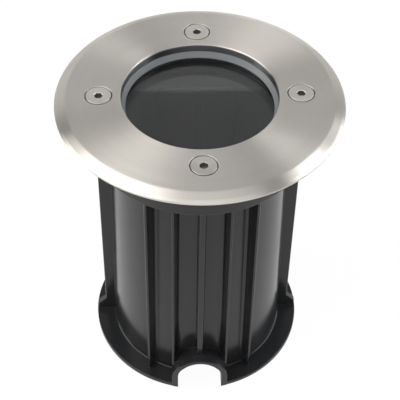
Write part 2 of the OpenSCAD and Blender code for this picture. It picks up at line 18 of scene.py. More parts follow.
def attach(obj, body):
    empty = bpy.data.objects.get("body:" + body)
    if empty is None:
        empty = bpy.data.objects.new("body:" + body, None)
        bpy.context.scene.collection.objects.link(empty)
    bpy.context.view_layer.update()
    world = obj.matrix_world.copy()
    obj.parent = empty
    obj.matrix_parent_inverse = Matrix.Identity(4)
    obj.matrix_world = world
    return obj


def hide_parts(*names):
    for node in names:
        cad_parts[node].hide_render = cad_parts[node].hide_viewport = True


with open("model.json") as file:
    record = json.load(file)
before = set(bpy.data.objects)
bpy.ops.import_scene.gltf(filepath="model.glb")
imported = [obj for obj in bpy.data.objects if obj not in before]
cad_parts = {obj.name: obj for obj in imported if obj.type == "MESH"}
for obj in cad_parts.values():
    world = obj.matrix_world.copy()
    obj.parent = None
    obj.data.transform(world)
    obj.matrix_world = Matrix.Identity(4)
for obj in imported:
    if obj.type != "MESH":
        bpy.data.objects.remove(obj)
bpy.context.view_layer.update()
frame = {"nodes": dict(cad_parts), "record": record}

MM = 0.001
# Tools reach this far past the piece that they cut or join, in mm.
OVERRUN = 1.0
# Edges that turn by more degrees than this stay sharp.
SMOOTH_ANGLE = 33.0
# Driving sizes that several sub-assemblies share, in mm.
TOP_Z = 128.6
SCREW_RING_R = 38.25
WINDOW_R = 29.7
POT_FLOOR_Z = 39.9
POST_PLACE = (23.0, 6.0)
GLAND_Y = -18.0
LOG = logging.getLogger("well_light")

BODY_OF = {node: body for body, nodes in frame["record"]["behaviour"]["bodies"].items() for node in nodes}

Colour = tuple[float, float, float]
Point2 = tuple[float, float]
Point3 = tuple[float, float, float]
Corner = Point2 | Point3
Piece = bpy.types.Object
Material = bpy.types.Material
Tree = bpy.types.NodeTree
Node = bpy.types.Node
Socket = bpy.types.NodeSocket
Sockets = bpy.types.bpy_prop_collection


class Side(Enum):
    """Places round the light, as turns in degrees from the front, seen from above."""

    FRONT = 0.0
    RIGHT = 90.0
    BACK = 180.0
    LEFT = 270.0

    def on_ring(self, radius: float) -> Point3:
        """Gives the place at a radius on this side, in mm."""
        turn = math.radians(self.value)
        return (radius * math.sin(turn), -radius * math.cos(turn), 0.0)


class Lay(Enum):
    """How the fine lines of a metal finish run."""

    TURNED = "turned"
    TUMBLED = "tumbled"


class Join(Enum):
    """What a tool solid does to a piece."""

    ADD = "UNION"
    CUT = "DIFFERENCE"
    KEEP = "INTERSECT"


class NodeSheet:
    """Adds nodes to one node tree and links them."""

    def __init__(self, tree: Tree) -> None:
        """Keeps the tree that the nodes go into."""
        self.tree = tree

    def found(self, kind: str) -> Node:
        """Gives the tree's own node of one type."""
        return next(node for node in self.tree.nodes if node.type == kind)

    def plug(self, socket: Socket, value: object) -> None:
        """Links an output socket into an input, or sets the input's plain value.

        Args:
            socket: The input.
            value: An output socket, a number, a vector or a colour of three numbers.
        """
        if isinstance(value, Socket):
            self.tree.links.new(value, socket)
        else:
            socket.default_value = (*value, 1.0) if socket.type == "RGBA" else value

    def feed(self, node: Node, *inputs: object, **values: object) -> Node:
        """Sets a node's properties, and sets or links its inputs.

        Args:
            node: The node.
            inputs: What its first inputs get, in order.
            values: What its other inputs get, by names that start with a capital and have underscores for
                spaces, and its properties, whose names start with a small letter.

        Returns:
            The node.
        """
        for name, value in values.items():
            if name[0].islower():
                setattr(node, name, value)
            else:
                self.plug(node.inputs[name.replace("_", " ")], value)
        for socket, value in zip(node.inputs, inputs):
            self.plug(socket, value)
        return node

    def add(self, kind: str, *inputs: object, **values: object) -> Sockets:
        """Adds a node of one type, fed as by feed, and returns its outputs."""
        return self.feed(self.tree.nodes.new(kind), *inputs, **values).outputs

    def math(self, operation: str, first: object, second: object = 0.0, clamp: bool = False) -> Socket:
        """Adds a Math node, clamped to 0 to 1 or not, and returns its output."""
        return self.add("ShaderNodeMath", first, second, operation=operation, use_clamp=clamp)[0]

    def spread(self, value: object, low: float, high: float, to_low: float, to_high: float) -> Socket:
        """Adds a Map Range node that carries low to high onto to_low to to_high."""
        return self.add("ShaderNodeMapRange", value, low, high, to_low, to_high)[0]

    def split(self, vector: Socket) -> Sockets:
        """Gives a vector's X, Y and Z."""
        return self.add("ShaderNodeSeparateXYZ", vector)

    def join(self, x: object = 0.0, y: object = 0.0, z: object = 0.0) -> Socket:
        """Makes a vector of X, Y and Z."""
        return self.add("ShaderNodeCombineXYZ", x, y, z)[0]

    def noise(self, vector: Socket, scale: object, detail: float, roughness: float) -> Socket:
        """Adds a Noise Texture and returns its factor."""
        return self.add("ShaderNodeTexNoise", Vector=vector, Scale=scale, Detail=detail,
                        Roughness=roughness)["Fac"]

    def blend(self, share: Socket, first: object, second: object) -> Socket:
        """Mixes two colours.

        Args:
            share: Share of the second colour.
            first: First colour.
            second: Second colour.

        Returns:
            The mixed colour.
        """
        node = self.feed(self.tree.nodes.new("ShaderNodeMix"), share, data_type="RGBA")
        for socket, colour in zip(node.inputs[6:8], (first, second)):
            self.plug(socket, colour)
        return node.outputs[2]


def link_object(name: str, mesh: bpy.types.Mesh) -> Piece:
    """Puts a mesh in the scene at the origin.

    Args:
        name: The object's name.
        mesh: The mesh.

    Returns:
        The object.
    """
    piece = bpy.data.objects.new(name, mesh)
    bpy.context.scene.collection.objects.link(piece)
    return piece


def finished(name: str, shape: bmesh.types.BMesh) -> Piece:
    """Turns a working mesh into an object whose faces point outwards.

    Args:
        name: The object's name.
        shape: The working mesh, which is used up.

    Returns:
        The object.
    """
    bmesh.ops.recalc_face_normals(shape, faces=shape.faces)
    mesh = bpy.data.meshes.new(name)
    shape.to_mesh(mesh)
    shape.free()
    return link_object(name, mesh)


def settle(piece: Piece) -> Piece:
    """Turns a piece's modifiers into plain mesh.

    Args:
        piece: The piece.

    Returns:
        The piece.
    """
    bpy.context.view_layer.update()
    graph = bpy.context.evaluated_depsgraph_get()
    source = piece.evaluated_get(graph)
    mesh = bpy.data.meshes.new_from_object(source, preserve_all_data_layers=True, depsgraph=graph)
    piece.modifiers.clear()
    rough = piece.data
    piece.data = mesh
    bpy.data.meshes.remove(rough)
    return piece


def combine(piece: Piece, join: Join, *tools: Piece) -> Piece:
    """Adds tool solids to a piece, cuts them out of it or keeps what lies in them.

    Args:
        piece: The piece to change.
        join: What the tools do.
        tools: The tool solids, which are used up.

    Returns:
        The piece.
    """
    for tool in tools:
        step = piece.modifiers.new(join.name, "BOOLEAN")
        step.operation, step.solver, step.object = join.value, "EXACT", tool
    settle(piece)
    for tool in tools:
        bpy.data.meshes.remove(tool.data)
    return piece


def merge(piece: Piece, other: Piece) -> Piece:
    """Puts another object's mesh into a piece beside its own.

    Args:
        piece: The piece.
        other: The other object, which is used up.

    Returns:
        The piece.
    """
    shape = bmesh.new()
    for source in (piece, other):
        shape.from_mesh(source.data)
    shape.to_mesh(piece.data)
    shape.free()
    bpy.data.meshes.remove(other.data)
    return piece


def soften(piece: Piece, width: float, angle: float = 30.0, steps: int = 2) -> Piece:
    """Rounds a piece's sharp edges.

    Args:
        piece: The piece.
        width: Width of the rounding, in mm.
        angle: Edges that turn by more than this many degrees are rounded.
        steps: Number of flats on each rounding.

    Returns:
        The piece.
    """
    step = piece.modifiers.new("soften", "BEVEL")
    step.width, step.segments = width * MM, steps
    step.limit_method, step.angle_limit = "ANGLE", math.radians(angle)
    step.miter_outer = "MITER_ARC"
    step.use_clamp_overlap = True
    return settle(piece)


def smooth(piece: Piece) -> Piece:
    """Shades a piece smooth but for its sharp edges, with the normals held by its larger faces.

    Args:
        piece: The piece.

    Returns:
        The piece.
    """
    piece.data.shade_smooth()
    piece.data.set_sharp_from_angle(angle=math.radians(SMOOTH_ANGLE))
    piece.modifiers.new("weigh", "WEIGHTED_NORMAL").keep_sharp = True
    return settle(piece)


def placed(piece: Piece, at: Point3 = (0.0, 0.0, 0.0), turn: float = 0.0) -> Piece:
    """Turns a piece's mesh about Z by degrees and moves it by mm, with its object left at the origin."""
    piece.data.transform(Matrix.Translation(Vector(at) * MM) @ Matrix.Rotation(math.radians(turn), 4, "Z"))
    return piece


def stand_for(piece: Piece, node: str, material: Material) -> None:
    """Puts a finished piece in a CAD node's place.

    Args:
        piece: The piece.
        node: The node that it stands for, whose body it rides on and whose slot it takes.
        material: Its finish.
    """
    piece.data.materials.clear()
    piece.data.materials.append(material)
    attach(piece, BODY_OF[node])
    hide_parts(node)
    LOG.info("%s stands for %s, %d faces", piece.name, node, len(piece.data.polygons))


def dress_node(node: str, material: Material) -> None:
    """Gives a CAD node its finish.

    Args:
        node: The node's name.
        material: Its material.
    """
    piece = frame["nodes"][node]
    piece.data.materials.clear()
    piece.data.materials.append(material)
    LOG.info("dressed %s", node)


def eased(outline: list[Corner], steps: int = 4) -> list[Point2]:
    """Rounds the corners of a closed outline.

    Args:
        outline: Corners in mm, each as x, y and, where it is round, its radius.
        steps: Number of flats on each rounding.

    Returns:
        The outline's points.
    """
    points: list[Point2] = []
    for index, (x, y, *radii) in enumerate(outline):
        radius = sum(radii)
        if not radius:
            points.append((x, y))
            continue
        here = Vector((x, y))
        back = (Vector(outline[index - 1][:2]) - here).normalized()
        ahead = (Vector(outline[(index + 1) % len(outline)][:2]) - here).normalized()
        half = back.angle(ahead) / 2
        centre = here + (back + ahead).normalized() * (radius / math.sin(half))
        start, end = (here + way * (radius / math.tan(half)) - centre for way in (back, ahead))
        first = math.atan2(start.y, start.x)
        sweep = (math.atan2(end.y, end.x) - first + math.pi) % math.tau - math.pi
        for step in range(steps + 1):
            angle = first + sweep * step / steps
            points.append((centre.x + radius * math.cos(angle), centre.y + radius * math.sin(angle)))
    return points


def lathe(name: str, outline: list[Corner], sides: int) -> Piece:
    """Turns a closed outline round the Z axis.

    Args:
        name: The object's name.
        outline: Corners in mm, as radius, height and, where it is round, its rounding.
        sides: Number of flats round the axis.

    Returns:
        The object.
    """
    shape = bmesh.new()
    rings = []
    for radius, height in eased(outline):
        turns = [math.tau * side / sides for side in range(sides)] if radius else [0.0]
        reach, level = radius * MM, height * MM
        points = [(reach * math.cos(turn), reach * math.sin(turn), level) for turn in turns]
        rings.append([shape.verts.new(point) for point in points])
    for low, high in zip(rings, rings[1:] + rings[:1]):
        for side in range(sides if len(low) + len(high) > 2 else 0):
            after = (side + 1) % sides
            corners = (low[side % len(low)], low[after % len(low)],
                       high[after % len(high)], high[side % len(high)])
            shape.faces.new(dict.fromkeys(corners))
    return finished(name, shape)


def solid(name: str, outline: list[Corner], sides: int) -> Piece:
    """Turns an outline whose two ends run level to the Z axis, as lathe does."""
    return lathe(name, [(0.0, outline[0][1]), *outline, (0.0, outline[-1][1])], sides)


def rod(name: str, radius: float, low: float, high: float, sides: int = 72) -> Piece:
    """Makes a plain round bar on the Z axis from its radius, foot and top, in mm."""
    return solid(name, [(radius, low), (radius, high)], sides)


def loft(name: str, sections: list[list[Point3]]) -> Piece:
    """Skins a closed solid over sections.

    Args:
        name: The object's name.
        sections: Closed sections with the same number of points each, in mm.

    Returns:
        The object.
    """
    shape = bmesh.new()
    rings = [[shape.verts.new([value * MM for value in point]) for point in section] for section in sections]
    for low, high in zip(rings, rings[1:]):
        for index in range(len(low)):
            shape.faces.new((low[index - 1], low[index], high[index], high[index - 1]))
    shape.faces.new(rings[0])
    shape.faces.new(rings[-1])
    return finished(name, shape)


def prism(name: str, outline: list[Point2], low: float, high: float, axis: str = "Z") -> Piece:
    """Extrudes an outline along an axis; it holds x and y along Z, x and z along Y, or y and z along X."""
    order = {"Z": lambda a, b, c: (a, b, c), "Y": lambda a, b, c: (a, c, b), "X": lambda a, b, c: (c, a, b)}
    return loft(name, [[order[axis](a, b, end) for a, b in outline] for end in (low, high)])


def oblong(half: float, low: float, high: float) -> list[Point2]:
    """Gives the corners of a rectangle of a half width between two heights."""
    return [(-half, low), (half, low), (half, high), (-half, high)]


def hexagon(flats: float, share: float = 1.0) -> list[Point2]:
    """Gives a hexagon with two corners on the Y axis, from its width across flats and a share of that."""
    reach = flats / 2 / math.cos(math.pi / 6) * share
    return [(reach * math.sin(math.pi / 3 * k), reach * math.cos(math.pi / 3 * k)) for k in range(6)]


def arch(radius: float, centre: float, foot: float, flats: int = 32) -> list[Point2]:
    """Gives an arch on straight legs, as x and z in mm.

    Args:
        radius: Radius of its round top.
        centre: Height of that round's centre.
        foot: Height of the legs' ends.
        flats: Number of flats on the round.

    Returns:
        The closed outline's points.
    """
    turns = [math.pi * k / flats for k in range(flats + 1)]
    top = [(radius * math.cos(turn), centre + radius * math.sin(turn)) for turn in turns]
    return [(radius, foot), *top, (-radius, foot)]


def eased_copy(node: str, name: str, width: float) -> Piece:
    """Copies a CAD node's mesh, closes it and rounds its edges.

    Args:
        node: The node.
        name: The copy's name.
        width: Width of the rounding, in mm.

    Returns:
        The copy.
    """
    weld, flat = 0.00001, math.radians(1.0)
    shape = bmesh.new()
    shape.from_mesh(frame["nodes"][node].data)
    bmesh.ops.remove_doubles(shape, verts=shape.verts, dist=weld)
    bmesh.ops.dissolve_limit(shape, angle_limit=flat, verts=shape.verts, edges=shape.edges)
    return smooth(soften(finished(name, shape), width))


class Repeats:
    """Geometry Nodes trees for what repeats or winds round the Z axis, each built once."""

    def __init__(self) -> None:
        """Builds both trees."""
        self.row_tree = self._row_tree()
        self.thread_tree = self._thread_tree()

    @staticmethod
    def _start(name: str, **inputs: str) -> tuple[NodeSheet, Sockets]:
        """Starts a tree that takes a mesh and a material.

        Args:
            name: The tree's name.
            inputs: Kinds of its other inputs, by name.

        Returns:
            The tree's node sheet and its inputs.
        """
        tree = bpy.data.node_groups.new(name, "GeometryNodeTree")
        tree.is_modifier = True
        for label, kind in {"Geometry": "Geometry", **inputs, "Material": "Material"}.items():
            tree.interface.new_socket(label, in_out="INPUT", socket_type=f"NodeSocket{kind}")
        tree.interface.new_socket("Geometry", in_out="OUTPUT", socket_type="NodeSocketGeometry")
        sheet = NodeSheet(tree)
        return sheet, sheet.add("NodeGroupInput")

    @staticmethod
    def _end(sheet: NodeSheet, geometry: Socket, material: Socket) -> Tree:
        """Ends a tree in real mesh.

        Args:
            sheet: The tree's node sheet.
            geometry: What it has made.
            material: The material to set.

        Returns:
            The tree.
        """
        real = sheet.add("GeometryNodeRealizeInstances", geometry)[0]
        dressed = sheet.add("GeometryNodeSetMaterial", Geometry=real, Material=material)[0]
        sheet.add("NodeGroupOutput", dressed)
        return sheet.tree

    def _row_tree(self) -> Tree:
        """Builds the tree that repeats a piece round the Z axis, with its angles in radians.

        Returns:
            The tree.
        """
        sheet, given = self._start("ring_row", Count="Int", First="Float", Pitch="Float")
        index = sheet.add("GeometryNodeInputIndex")[0]
        turn = sheet.math("ADD", sheet.math("MULTIPLY", index, given["Pitch"]), given["First"])
        row = sheet.add(
            "GeometryNodeInstanceOnPoints", Points=sheet.add("GeometryNodePoints", Count=given["Count"])[0],
            Instance=given["Geometry"], Rotation=sheet.join(z=turn),
        )
        return self._end(sheet, row[0], given["Material"])

    def _thread_tree(self) -> Tree:
        """Builds the tree that winds a V thread round a core on the Z axis, with its sizes in metres.

        Returns:
            The tree.
        """
        sizes = dict.fromkeys(("Core", "Depth", "Pitch", "Turns", "Foot"), "Float")
        sheet, given = self._start("screw_thread", **sizes, Flats="Int")
        spiral = sheet.add(
            "GeometryNodeCurveSpiral", Resolution=given["Flats"], Rotations=given["Turns"],
            Start_Radius=given["Core"], End_Radius=given["Core"],
            Height=sheet.math("MULTIPLY", given["Pitch"], given["Turns"]),
        )[0]
        level = sheet.add("GeometryNodeSetCurveNormal", mode="Z_UP", Curve=spiral)[0]
        edge = sheet.add("GeometryNodeCurvePrimitiveCircle", mode="RADIUS", Resolution=4,
                         Radius=given["Depth"])[0]
        wound = sheet.add("GeometryNodeCurveToMesh", Curve=level, Profile_Curve=edge, Fill_Caps=True)[0]
        foot = sheet.join(z=given["Foot"])
        raised = sheet.add("GeometryNodeTransform", Geometry=wound, Translation=foot)[0]
        both = sheet.tree.nodes.new("GeometryNodeJoinGeometry")
        for part in (raised, given["Geometry"]):
            sheet.plug(both.inputs[0], part)
        return self._end(sheet, both.outputs[0], given["Material"])

    @staticmethod
    def _run(piece: Piece, tree: Tree, **values: object) -> Piece:
        """Runs a tree on a piece and keeps the result as plain mesh.

        Args:
            piece: The piece.
            tree: The tree.
            values: The tree's inputs, by name.

        Returns:
            The piece.
        """
        step = piece.modifiers.new(tree.name, "NODES")
        step.node_group = tree
        known = {item.name: item.identifier for item in tree.interface.items_tree if item.in_out == "INPUT"}
        for name, value in values.items():
            step[known[name]] = value
        return settle(piece)

    def ring(self, piece: Piece, finish: Material, count: int, pitch: float, first: float = 0.0) -> Piece:
        """Repeats a piece round the Z axis, with its pitch and its first angle in degrees."""
        return self._run(piece, self.row_tree, Count=count, First=math.radians(first),
                         Pitch=math.radians(pitch), Material=finish)

    def wind(self, piece: Piece, finish: Material, core: float, depth: float, pitch: float, low: float,
             high: float, flats: int) -> Piece:
        """Winds a V thread round a core radius on the Z axis, from low to high, with its sizes in mm."""
        return self._run(piece, self.thread_tree, Core=core * MM, Depth=depth * MM, Pitch=pitch * MM,
                         Turns=(high - low) / pitch, Foot=low * MM, Flats=flats, Material=finish)


class Group(NodeSheet):
    """A shader node group with number inputs."""

    def __init__(self, name: str, **numbers: float) -> None:
        """Starts the group.

        Args:
            name: Its name.
            numbers: Defaults of its inputs, by name.
        """
        super().__init__(bpy.data.node_groups.new(name, "ShaderNodeTree"))
        for label, default in numbers.items():
            socket = self.tree.interface.new_socket(label, in_out="INPUT", socket_type="NodeSocketFloat")
            socket.default_value = default
        self.given = self.add("NodeGroupInput")

    def place(self) -> Socket:
        """Gives the place on the piece, in its own coordinates in metres."""
        return self.add("ShaderNodeTexCoord")["Object"]

    def end(self, **results: Socket) -> Tree:
        """Ends the group.

        Args:
            results: What it gives, by output name.

        Returns:
            The group's tree.
        """
        for label, result in results.items():
            kind = "Vector" if result.type == "VECTOR" else "Float"
            self.tree.interface.new_socket(label, in_out="OUTPUT", socket_type=f"NodeSocket{kind}")
        self.add("NodeGroupOutput", *results.values())
        return self.tree


class Effects:
    """Shader node groups that several finishes share, each built once."""

    def __init__(self) -> None:
        """Builds every group."""
        self.grain = self._grain()
        self.turned = self._turned()
        self.patches = self._patches()
        self.edges = self._edges()
        self.sockets = self._socket_shade_mask()
        self.inner = self._inner()

    @staticmethod
    def _inner() -> Tree:
        """Finds what lies within a radius of the Z axis, or under a height, where painted shade goes.

        Returns:
            The group, which gives Mask.
        """
        group = Group("inner_shade", Reach=0.0, Level=0.0, Soft=0.0002)
        x, y, z = group.split(group.place())
        squares = [group.math("POWER", part, 2.0) for part in (x, y)]
        radius = group.math("SQRT", group.math("ADD", *squares))
        masks = []
        for value, limit in ((radius, "Reach"), (z, "Level")):
            gap = group.math("SUBTRACT", group.given[limit], value)
            masks.append(group.math("DIVIDE", gap, group.given["Soft"], clamp=True))
        return group.end(Mask=group.math("MAXIMUM", *masks))

    @staticmethod
    def _socket_shade_mask() -> Tree:
        """Finds the insides of the cover screws' sockets, on their ring round the Z axis, where painted shade
        goes.

        Returns:
            The group, which gives Mask.
        """
        group = Group("socket_dirt", Ring=SCREW_RING_R * MM, Reach=0.00178)
        start_depth, full_depth = 0.1, 0.5
        x, y, z = group.split(group.place())
        wide, deep = (group.math("ABSOLUTE", part) for part in (x, y))
        along = group.math("SUBTRACT", group.math("MAXIMUM", wide, deep), group.given["Ring"])
        off = group.math("MAXIMUM", group.math("ABSOLUTE", along), group.math("MINIMUM", wide, deep))
        near = group.math("LESS_THAN", off, group.given["Reach"])
        sunk = group.spread(z, (TOP_Z - start_depth) * MM, (TOP_Z - full_depth) * MM, 0.0, 1.0)
        return group.end(Mask=group.math("MULTIPLY", near, sunk))

    @staticmethod
    def _grain() -> Tree:
        """Makes the fine bumps of a moulded or cast surface, of a Size in metres.

        Returns:
            The group, which gives Height and Speck.
        """
        group = Group("moulded_grain", Size=0.0006)
        place, scale = group.place(), group.math("DIVIDE", 1.0, group.given["Size"])
        fine = group.noise(place, scale, 3.0, 0.6)
        cells = group.add("ShaderNodeTexVoronoi", feature="SMOOTH_F1", Vector=place, Scale=scale)
        height = group.math("ADD", fine, cells["Distance"])
        return group.end(Height=height, Speck=group.spread(fine, 0.62, 0.75, 0.0, 1.0))

    @staticmethod
    def _turned() -> Tree:
        """Makes lines that run round the Z axis, a Line in metres apart.

        Returns:
            The group, which gives Height and Streak.
        """
        group = Group("turned_lines", Line=0.0003)
        spokes, breadth, band_share = 2.2, 0.12, 0.35
        x, y, z = group.split(group.place())
        flat = group.join(x, y)
        reach = group.add("ShaderNodeVectorMath", flat, operation="LENGTH")["Value"]
        ring = group.math("DIVIDE", group.math("SUBTRACT", reach, z), group.given["Line"])
        ray = group.add("ShaderNodeVectorMath", flat, operation="NORMALIZE")["Vector"]
        ray_x, ray_y, _ = group.split(ray)
        around = [group.math("MULTIPLY", part, spokes) for part in (ray_x, ray_y)]
        lines = group.noise(group.join(ring, *around), 1.0, 2.0, 0.65)
        broad = group.join(group.math("MULTIPLY", ring, breadth), ray_x, ray_y)
        bands = group.noise(broad, 1.0, 1.0, 0.5)
        shares = ((lines, 1.0 - band_share), (bands, band_share))
        streak = group.math("ADD", *(group.math("MULTIPLY", part, share) for part, share in shares))
        return group.end(Height=lines, Streak=streak)

    @staticmethod
    def _patches() -> Tree:
        """Makes broad, faint handling marks, of a Size in metres.

        Returns:
            The group, which gives Factor, around 0.5.
        """
        group = Group("handling_patches", Size=0.03)
        broad = group.noise(group.place(), group.math("DIVIDE", 1.0, group.given["Size"]), 3.0, 0.55)
        return group.end(Factor=group.spread(broad, 0.3, 0.7, 0.0, 1.0))

    @staticmethod
    def _edges() -> Tree:
        """Finds the edges of a piece, within a Radius in metres.

        Returns:
            The group, which gives Mask and Normal, the latter rounded over the edges.
        """
        group = Group("soft_edges", Radius=0.0003)
        soft = group.add("ShaderNodeBevel", samples=6, Radius=group.given["Radius"])[0]
        flat = group.add("ShaderNodeNewGeometry")["Normal"]
        match = group.add("ShaderNodeVectorMath", soft, flat, operation="DOT_PRODUCT")["Value"]
        return group.end(Mask=group.spread(match, 0.995, 0.8, 0.0, 1.0), Normal=soft)


class Recipe(NodeSheet):
    """One material with its Principled shader and effects."""

    def __init__(self, name: str) -> None:
        """Starts the material.

        Args:
            name: Its name.
        """
        self.material = bpy.data.materials.new(name)
        self.material.use_nodes = True
        super().__init__(self.material.node_tree)
        self.shader = self.found("BSDF_PRINCIPLED")

    def effect(self, group: Tree, **values: object) -> Sockets:
        """Places an effect group, feeds its inputs by name and returns its outputs."""
        return self.add("ShaderNodeGroup", node_tree=group, **values)

    def bump(self, height: Socket, depth: float, strength: float, normal: Socket) -> Socket:
        """Bumps a normal by a height of 0 to 1, from its real depth in metres and how much of it shows."""
        return self.add("ShaderNodeBump", Height=height, Distance=depth, Strength=strength,
                        Normal=normal)[0]


@dataclass(frozen=True)
class MouldedPlastic:
    """Injection-moulded plastic or rubber with a fine grain, lighter edges that are partly wear and partly a
    painted highlight, and optional painted shade under a height.
    """

    name: str
    colour: Colour
    roughness: float
    grain: float = 0.0005
    grain_depth: float = 0.00003
    grain_strength: float = 0.35
    speck_gain: float = 0.06
    patch: float = 0.028
    patch_swing: float = 0.04
    dull_share: float = 0.88
    edge_radius: float = 0.0003
    edge_gain: float = 0.5
    edge_lift: float = 0.012
    least_wear_and_highlight: float = 0.35
    gloss: float = 0.5
    # Painted shade under this height, in this colour.
    painted_shade_level: float = 0.0
    painted_shade_colour: Colour = (0.01, 0.01, 0.01)

    def material(self, effects: Effects) -> Material:
        """Builds the finish's material.

        Args:
            effects: The shared effect groups.

        Returns:
            The material.
        """
        recipe = Recipe(self.name)
        grain = recipe.effect(effects.grain, Size=self.grain)
        patches = recipe.effect(effects.patches, Size=self.patch)["Factor"]
        edges = recipe.effect(effects.edges, Radius=self.edge_radius)
        # Lighter edges: partly wear, partly a painted edge highlight.
        lift = self.edge_lift * self.edge_gain
        worn_and_highlit = tuple(min(1.0, value * (1.0 + self.edge_gain) + lift) for value in self.colour)
        dull = tuple(value * self.dull_share for value in self.colour)
        wear_and_highlight = recipe.math("MULTIPLY", edges["Mask"], recipe.spread(patches, 0.0, 1.0, self.least_wear_and_highlight, 1.0))
        colour = recipe.blend(wear_and_highlight, recipe.blend(patches, dull, self.colour), worn_and_highlit)
        # Painted shade: darker colour under a height, used on the gasket's lower lip under the glass.
        if self.painted_shade_level:
            depth = recipe.effect(effects.inner, Level=self.painted_shade_level)["Mask"]
            colour = recipe.blend(depth, colour, self.painted_shade_colour)
        swing = (self.roughness - self.patch_swing, self.roughness + self.patch_swing)
        specks = recipe.math("MULTIPLY", grain["Speck"], self.speck_gain)
        recipe.feed(
            recipe.shader,
            Base_Color=colour,
            Roughness=recipe.math("ADD", recipe.spread(patches, 0.0, 1.0, *swing), specks),
            Specular_IOR_Level=self.gloss,
            Normal=recipe.bump(grain["Height"], self.grain_depth, self.grain_strength, edges["Normal"]),
        )
        return recipe.material


@dataclass(frozen=True)
class Metal:
    """Bare metal with turned or tumbled lines, with optional painted shade inside the screw sockets and within
    a radius of the Z axis.
    """

    name: str
    colour: Colour
    roughness: float
    anisotropy: float = 0.0
    lay: Lay = Lay.TUMBLED
    line: float = 0.0003
    line_depth: float = 0.000004
    line_strength: float = 0.5
    streak_range: Point2 = (0.3, 0.7)
    streak_swing: float = 0.035
    shade_share: float = 0.93
    patch: float = 0.02
    patch_gain: float = 0.02
    edge_radius: float = 0.00012
    across_turn: float = 0.25
    # The sockets' insides get painted shade: a darker colour and more roughness.
    sockets: bool = False
    socket_shade_colour: Colour = (0.2, 0.195, 0.185)
    socket_gain: float = 0.25
    # Painted shade within this radius of the Z axis, in this colour.
    painted_shade_reach: float = 0.0
    painted_shade_colour: Colour = (0.12, 0.124, 0.128)

    def material(self, effects: Effects) -> Material:
        """Builds the finish's material.

        Args:
            effects: The shared effect groups.

        Returns:
            The material.
        """
        recipe = Recipe(self.name)
        patches = recipe.effect(effects.patches, Size=self.patch)["Factor"]
        edges = recipe.effect(effects.edges, Radius=self.edge_radius)
        if self.lay is Lay.TURNED:
            lines = recipe.effect(effects.turned, Line=self.line)
            streak = lines["Streak"]
            tangent = recipe.add("ShaderNodeTangent", direction_type="RADIAL", axis="Z")[0]
            recipe.feed(recipe.shader, Tangent=tangent, Anisotropic_Rotation=self.across_turn)
        else:
            lines = recipe.effect(effects.grain, Size=self.line)
            streak = patches
        shade = tuple(value * self.shade_share for value in self.colour)
        colour = recipe.blend(recipe.spread(streak, *self.streak_range, 0.0, 1.0), shade, self.colour)
        swing = (self.roughness - self.streak_swing, self.roughness + self.streak_swing)
        rough = recipe.spread(streak, *self.streak_range, *swing)
        # Painted shade: the sockets' insides are coloured darker and made rougher.
        if self.sockets:
            socket_shade = recipe.effect(effects.sockets)["Mask"]
            colour = recipe.blend(socket_shade, colour, self.socket_shade_colour)
            rough = recipe.math("ADD", rough, recipe.math("MULTIPLY", socket_shade, self.socket_gain))
        # Painted shade: darker colour within a radius of the Z axis, used on the trim's window wall.
        if self.painted_shade_reach:
            depth = recipe.effect(effects.inner, Reach=self.painted_shade_reach)["Mask"]
            colour = recipe.blend(depth, colour, self.painted_shade_colour)
        recipe.feed(
            recipe.shader,
            Base_Color=colour,
            Metallic=1.0,
            Roughness=recipe.math("ADD", rough, recipe.math("MULTIPLY", patches, self.patch_gain)),
            Anisotropic=self.anisotropy,
            Normal=recipe.bump(lines["Height"], self.line_depth, self.line_strength, edges["Normal"]),
        )
        return recipe.material


@dataclass(frozen=True)
class ClearGlass:
    """Toughened glass that lets the lamps shine through."""

    name: str
    tint: Colour
    ior: float = 1.5
    patch: float = 0.018
    patch_range: Point2 = (0.2, 1.0)
    most_rough: float = 0.03
    shadow_tint: Colour = (0.92, 0.95, 0.95)

    def material(self, effects: Effects) -> Material:
        """Builds the finish's material.

        Args:
            effects: The shared effect groups.

        Returns:
            The material.
        """
        recipe = Recipe(self.name)
        patches = recipe.effect(effects.patches, Size=self.patch)["Factor"]
        recipe.feed(
            recipe.shader,
            Base_Color=self.tint,
            Transmission_Weight=1.0,
            IOR=self.ior,
            Roughness=recipe.spread(patches, *self.patch_range, 0.0, self.most_rough),
        )
        shadow = recipe.add("ShaderNodeLightPath")["Is Shadow Ray"]
        clear = recipe.add("ShaderNodeBsdfTransparent", Color=self.shadow_tint)[0]
        swap = recipe.add("ShaderNodeMixShader", shadow, recipe.shader.outputs[0], clear)[0]
        recipe.feed(recipe.found("OUTPUT_MATERIAL"), Surface=swap)
        return recipe.material


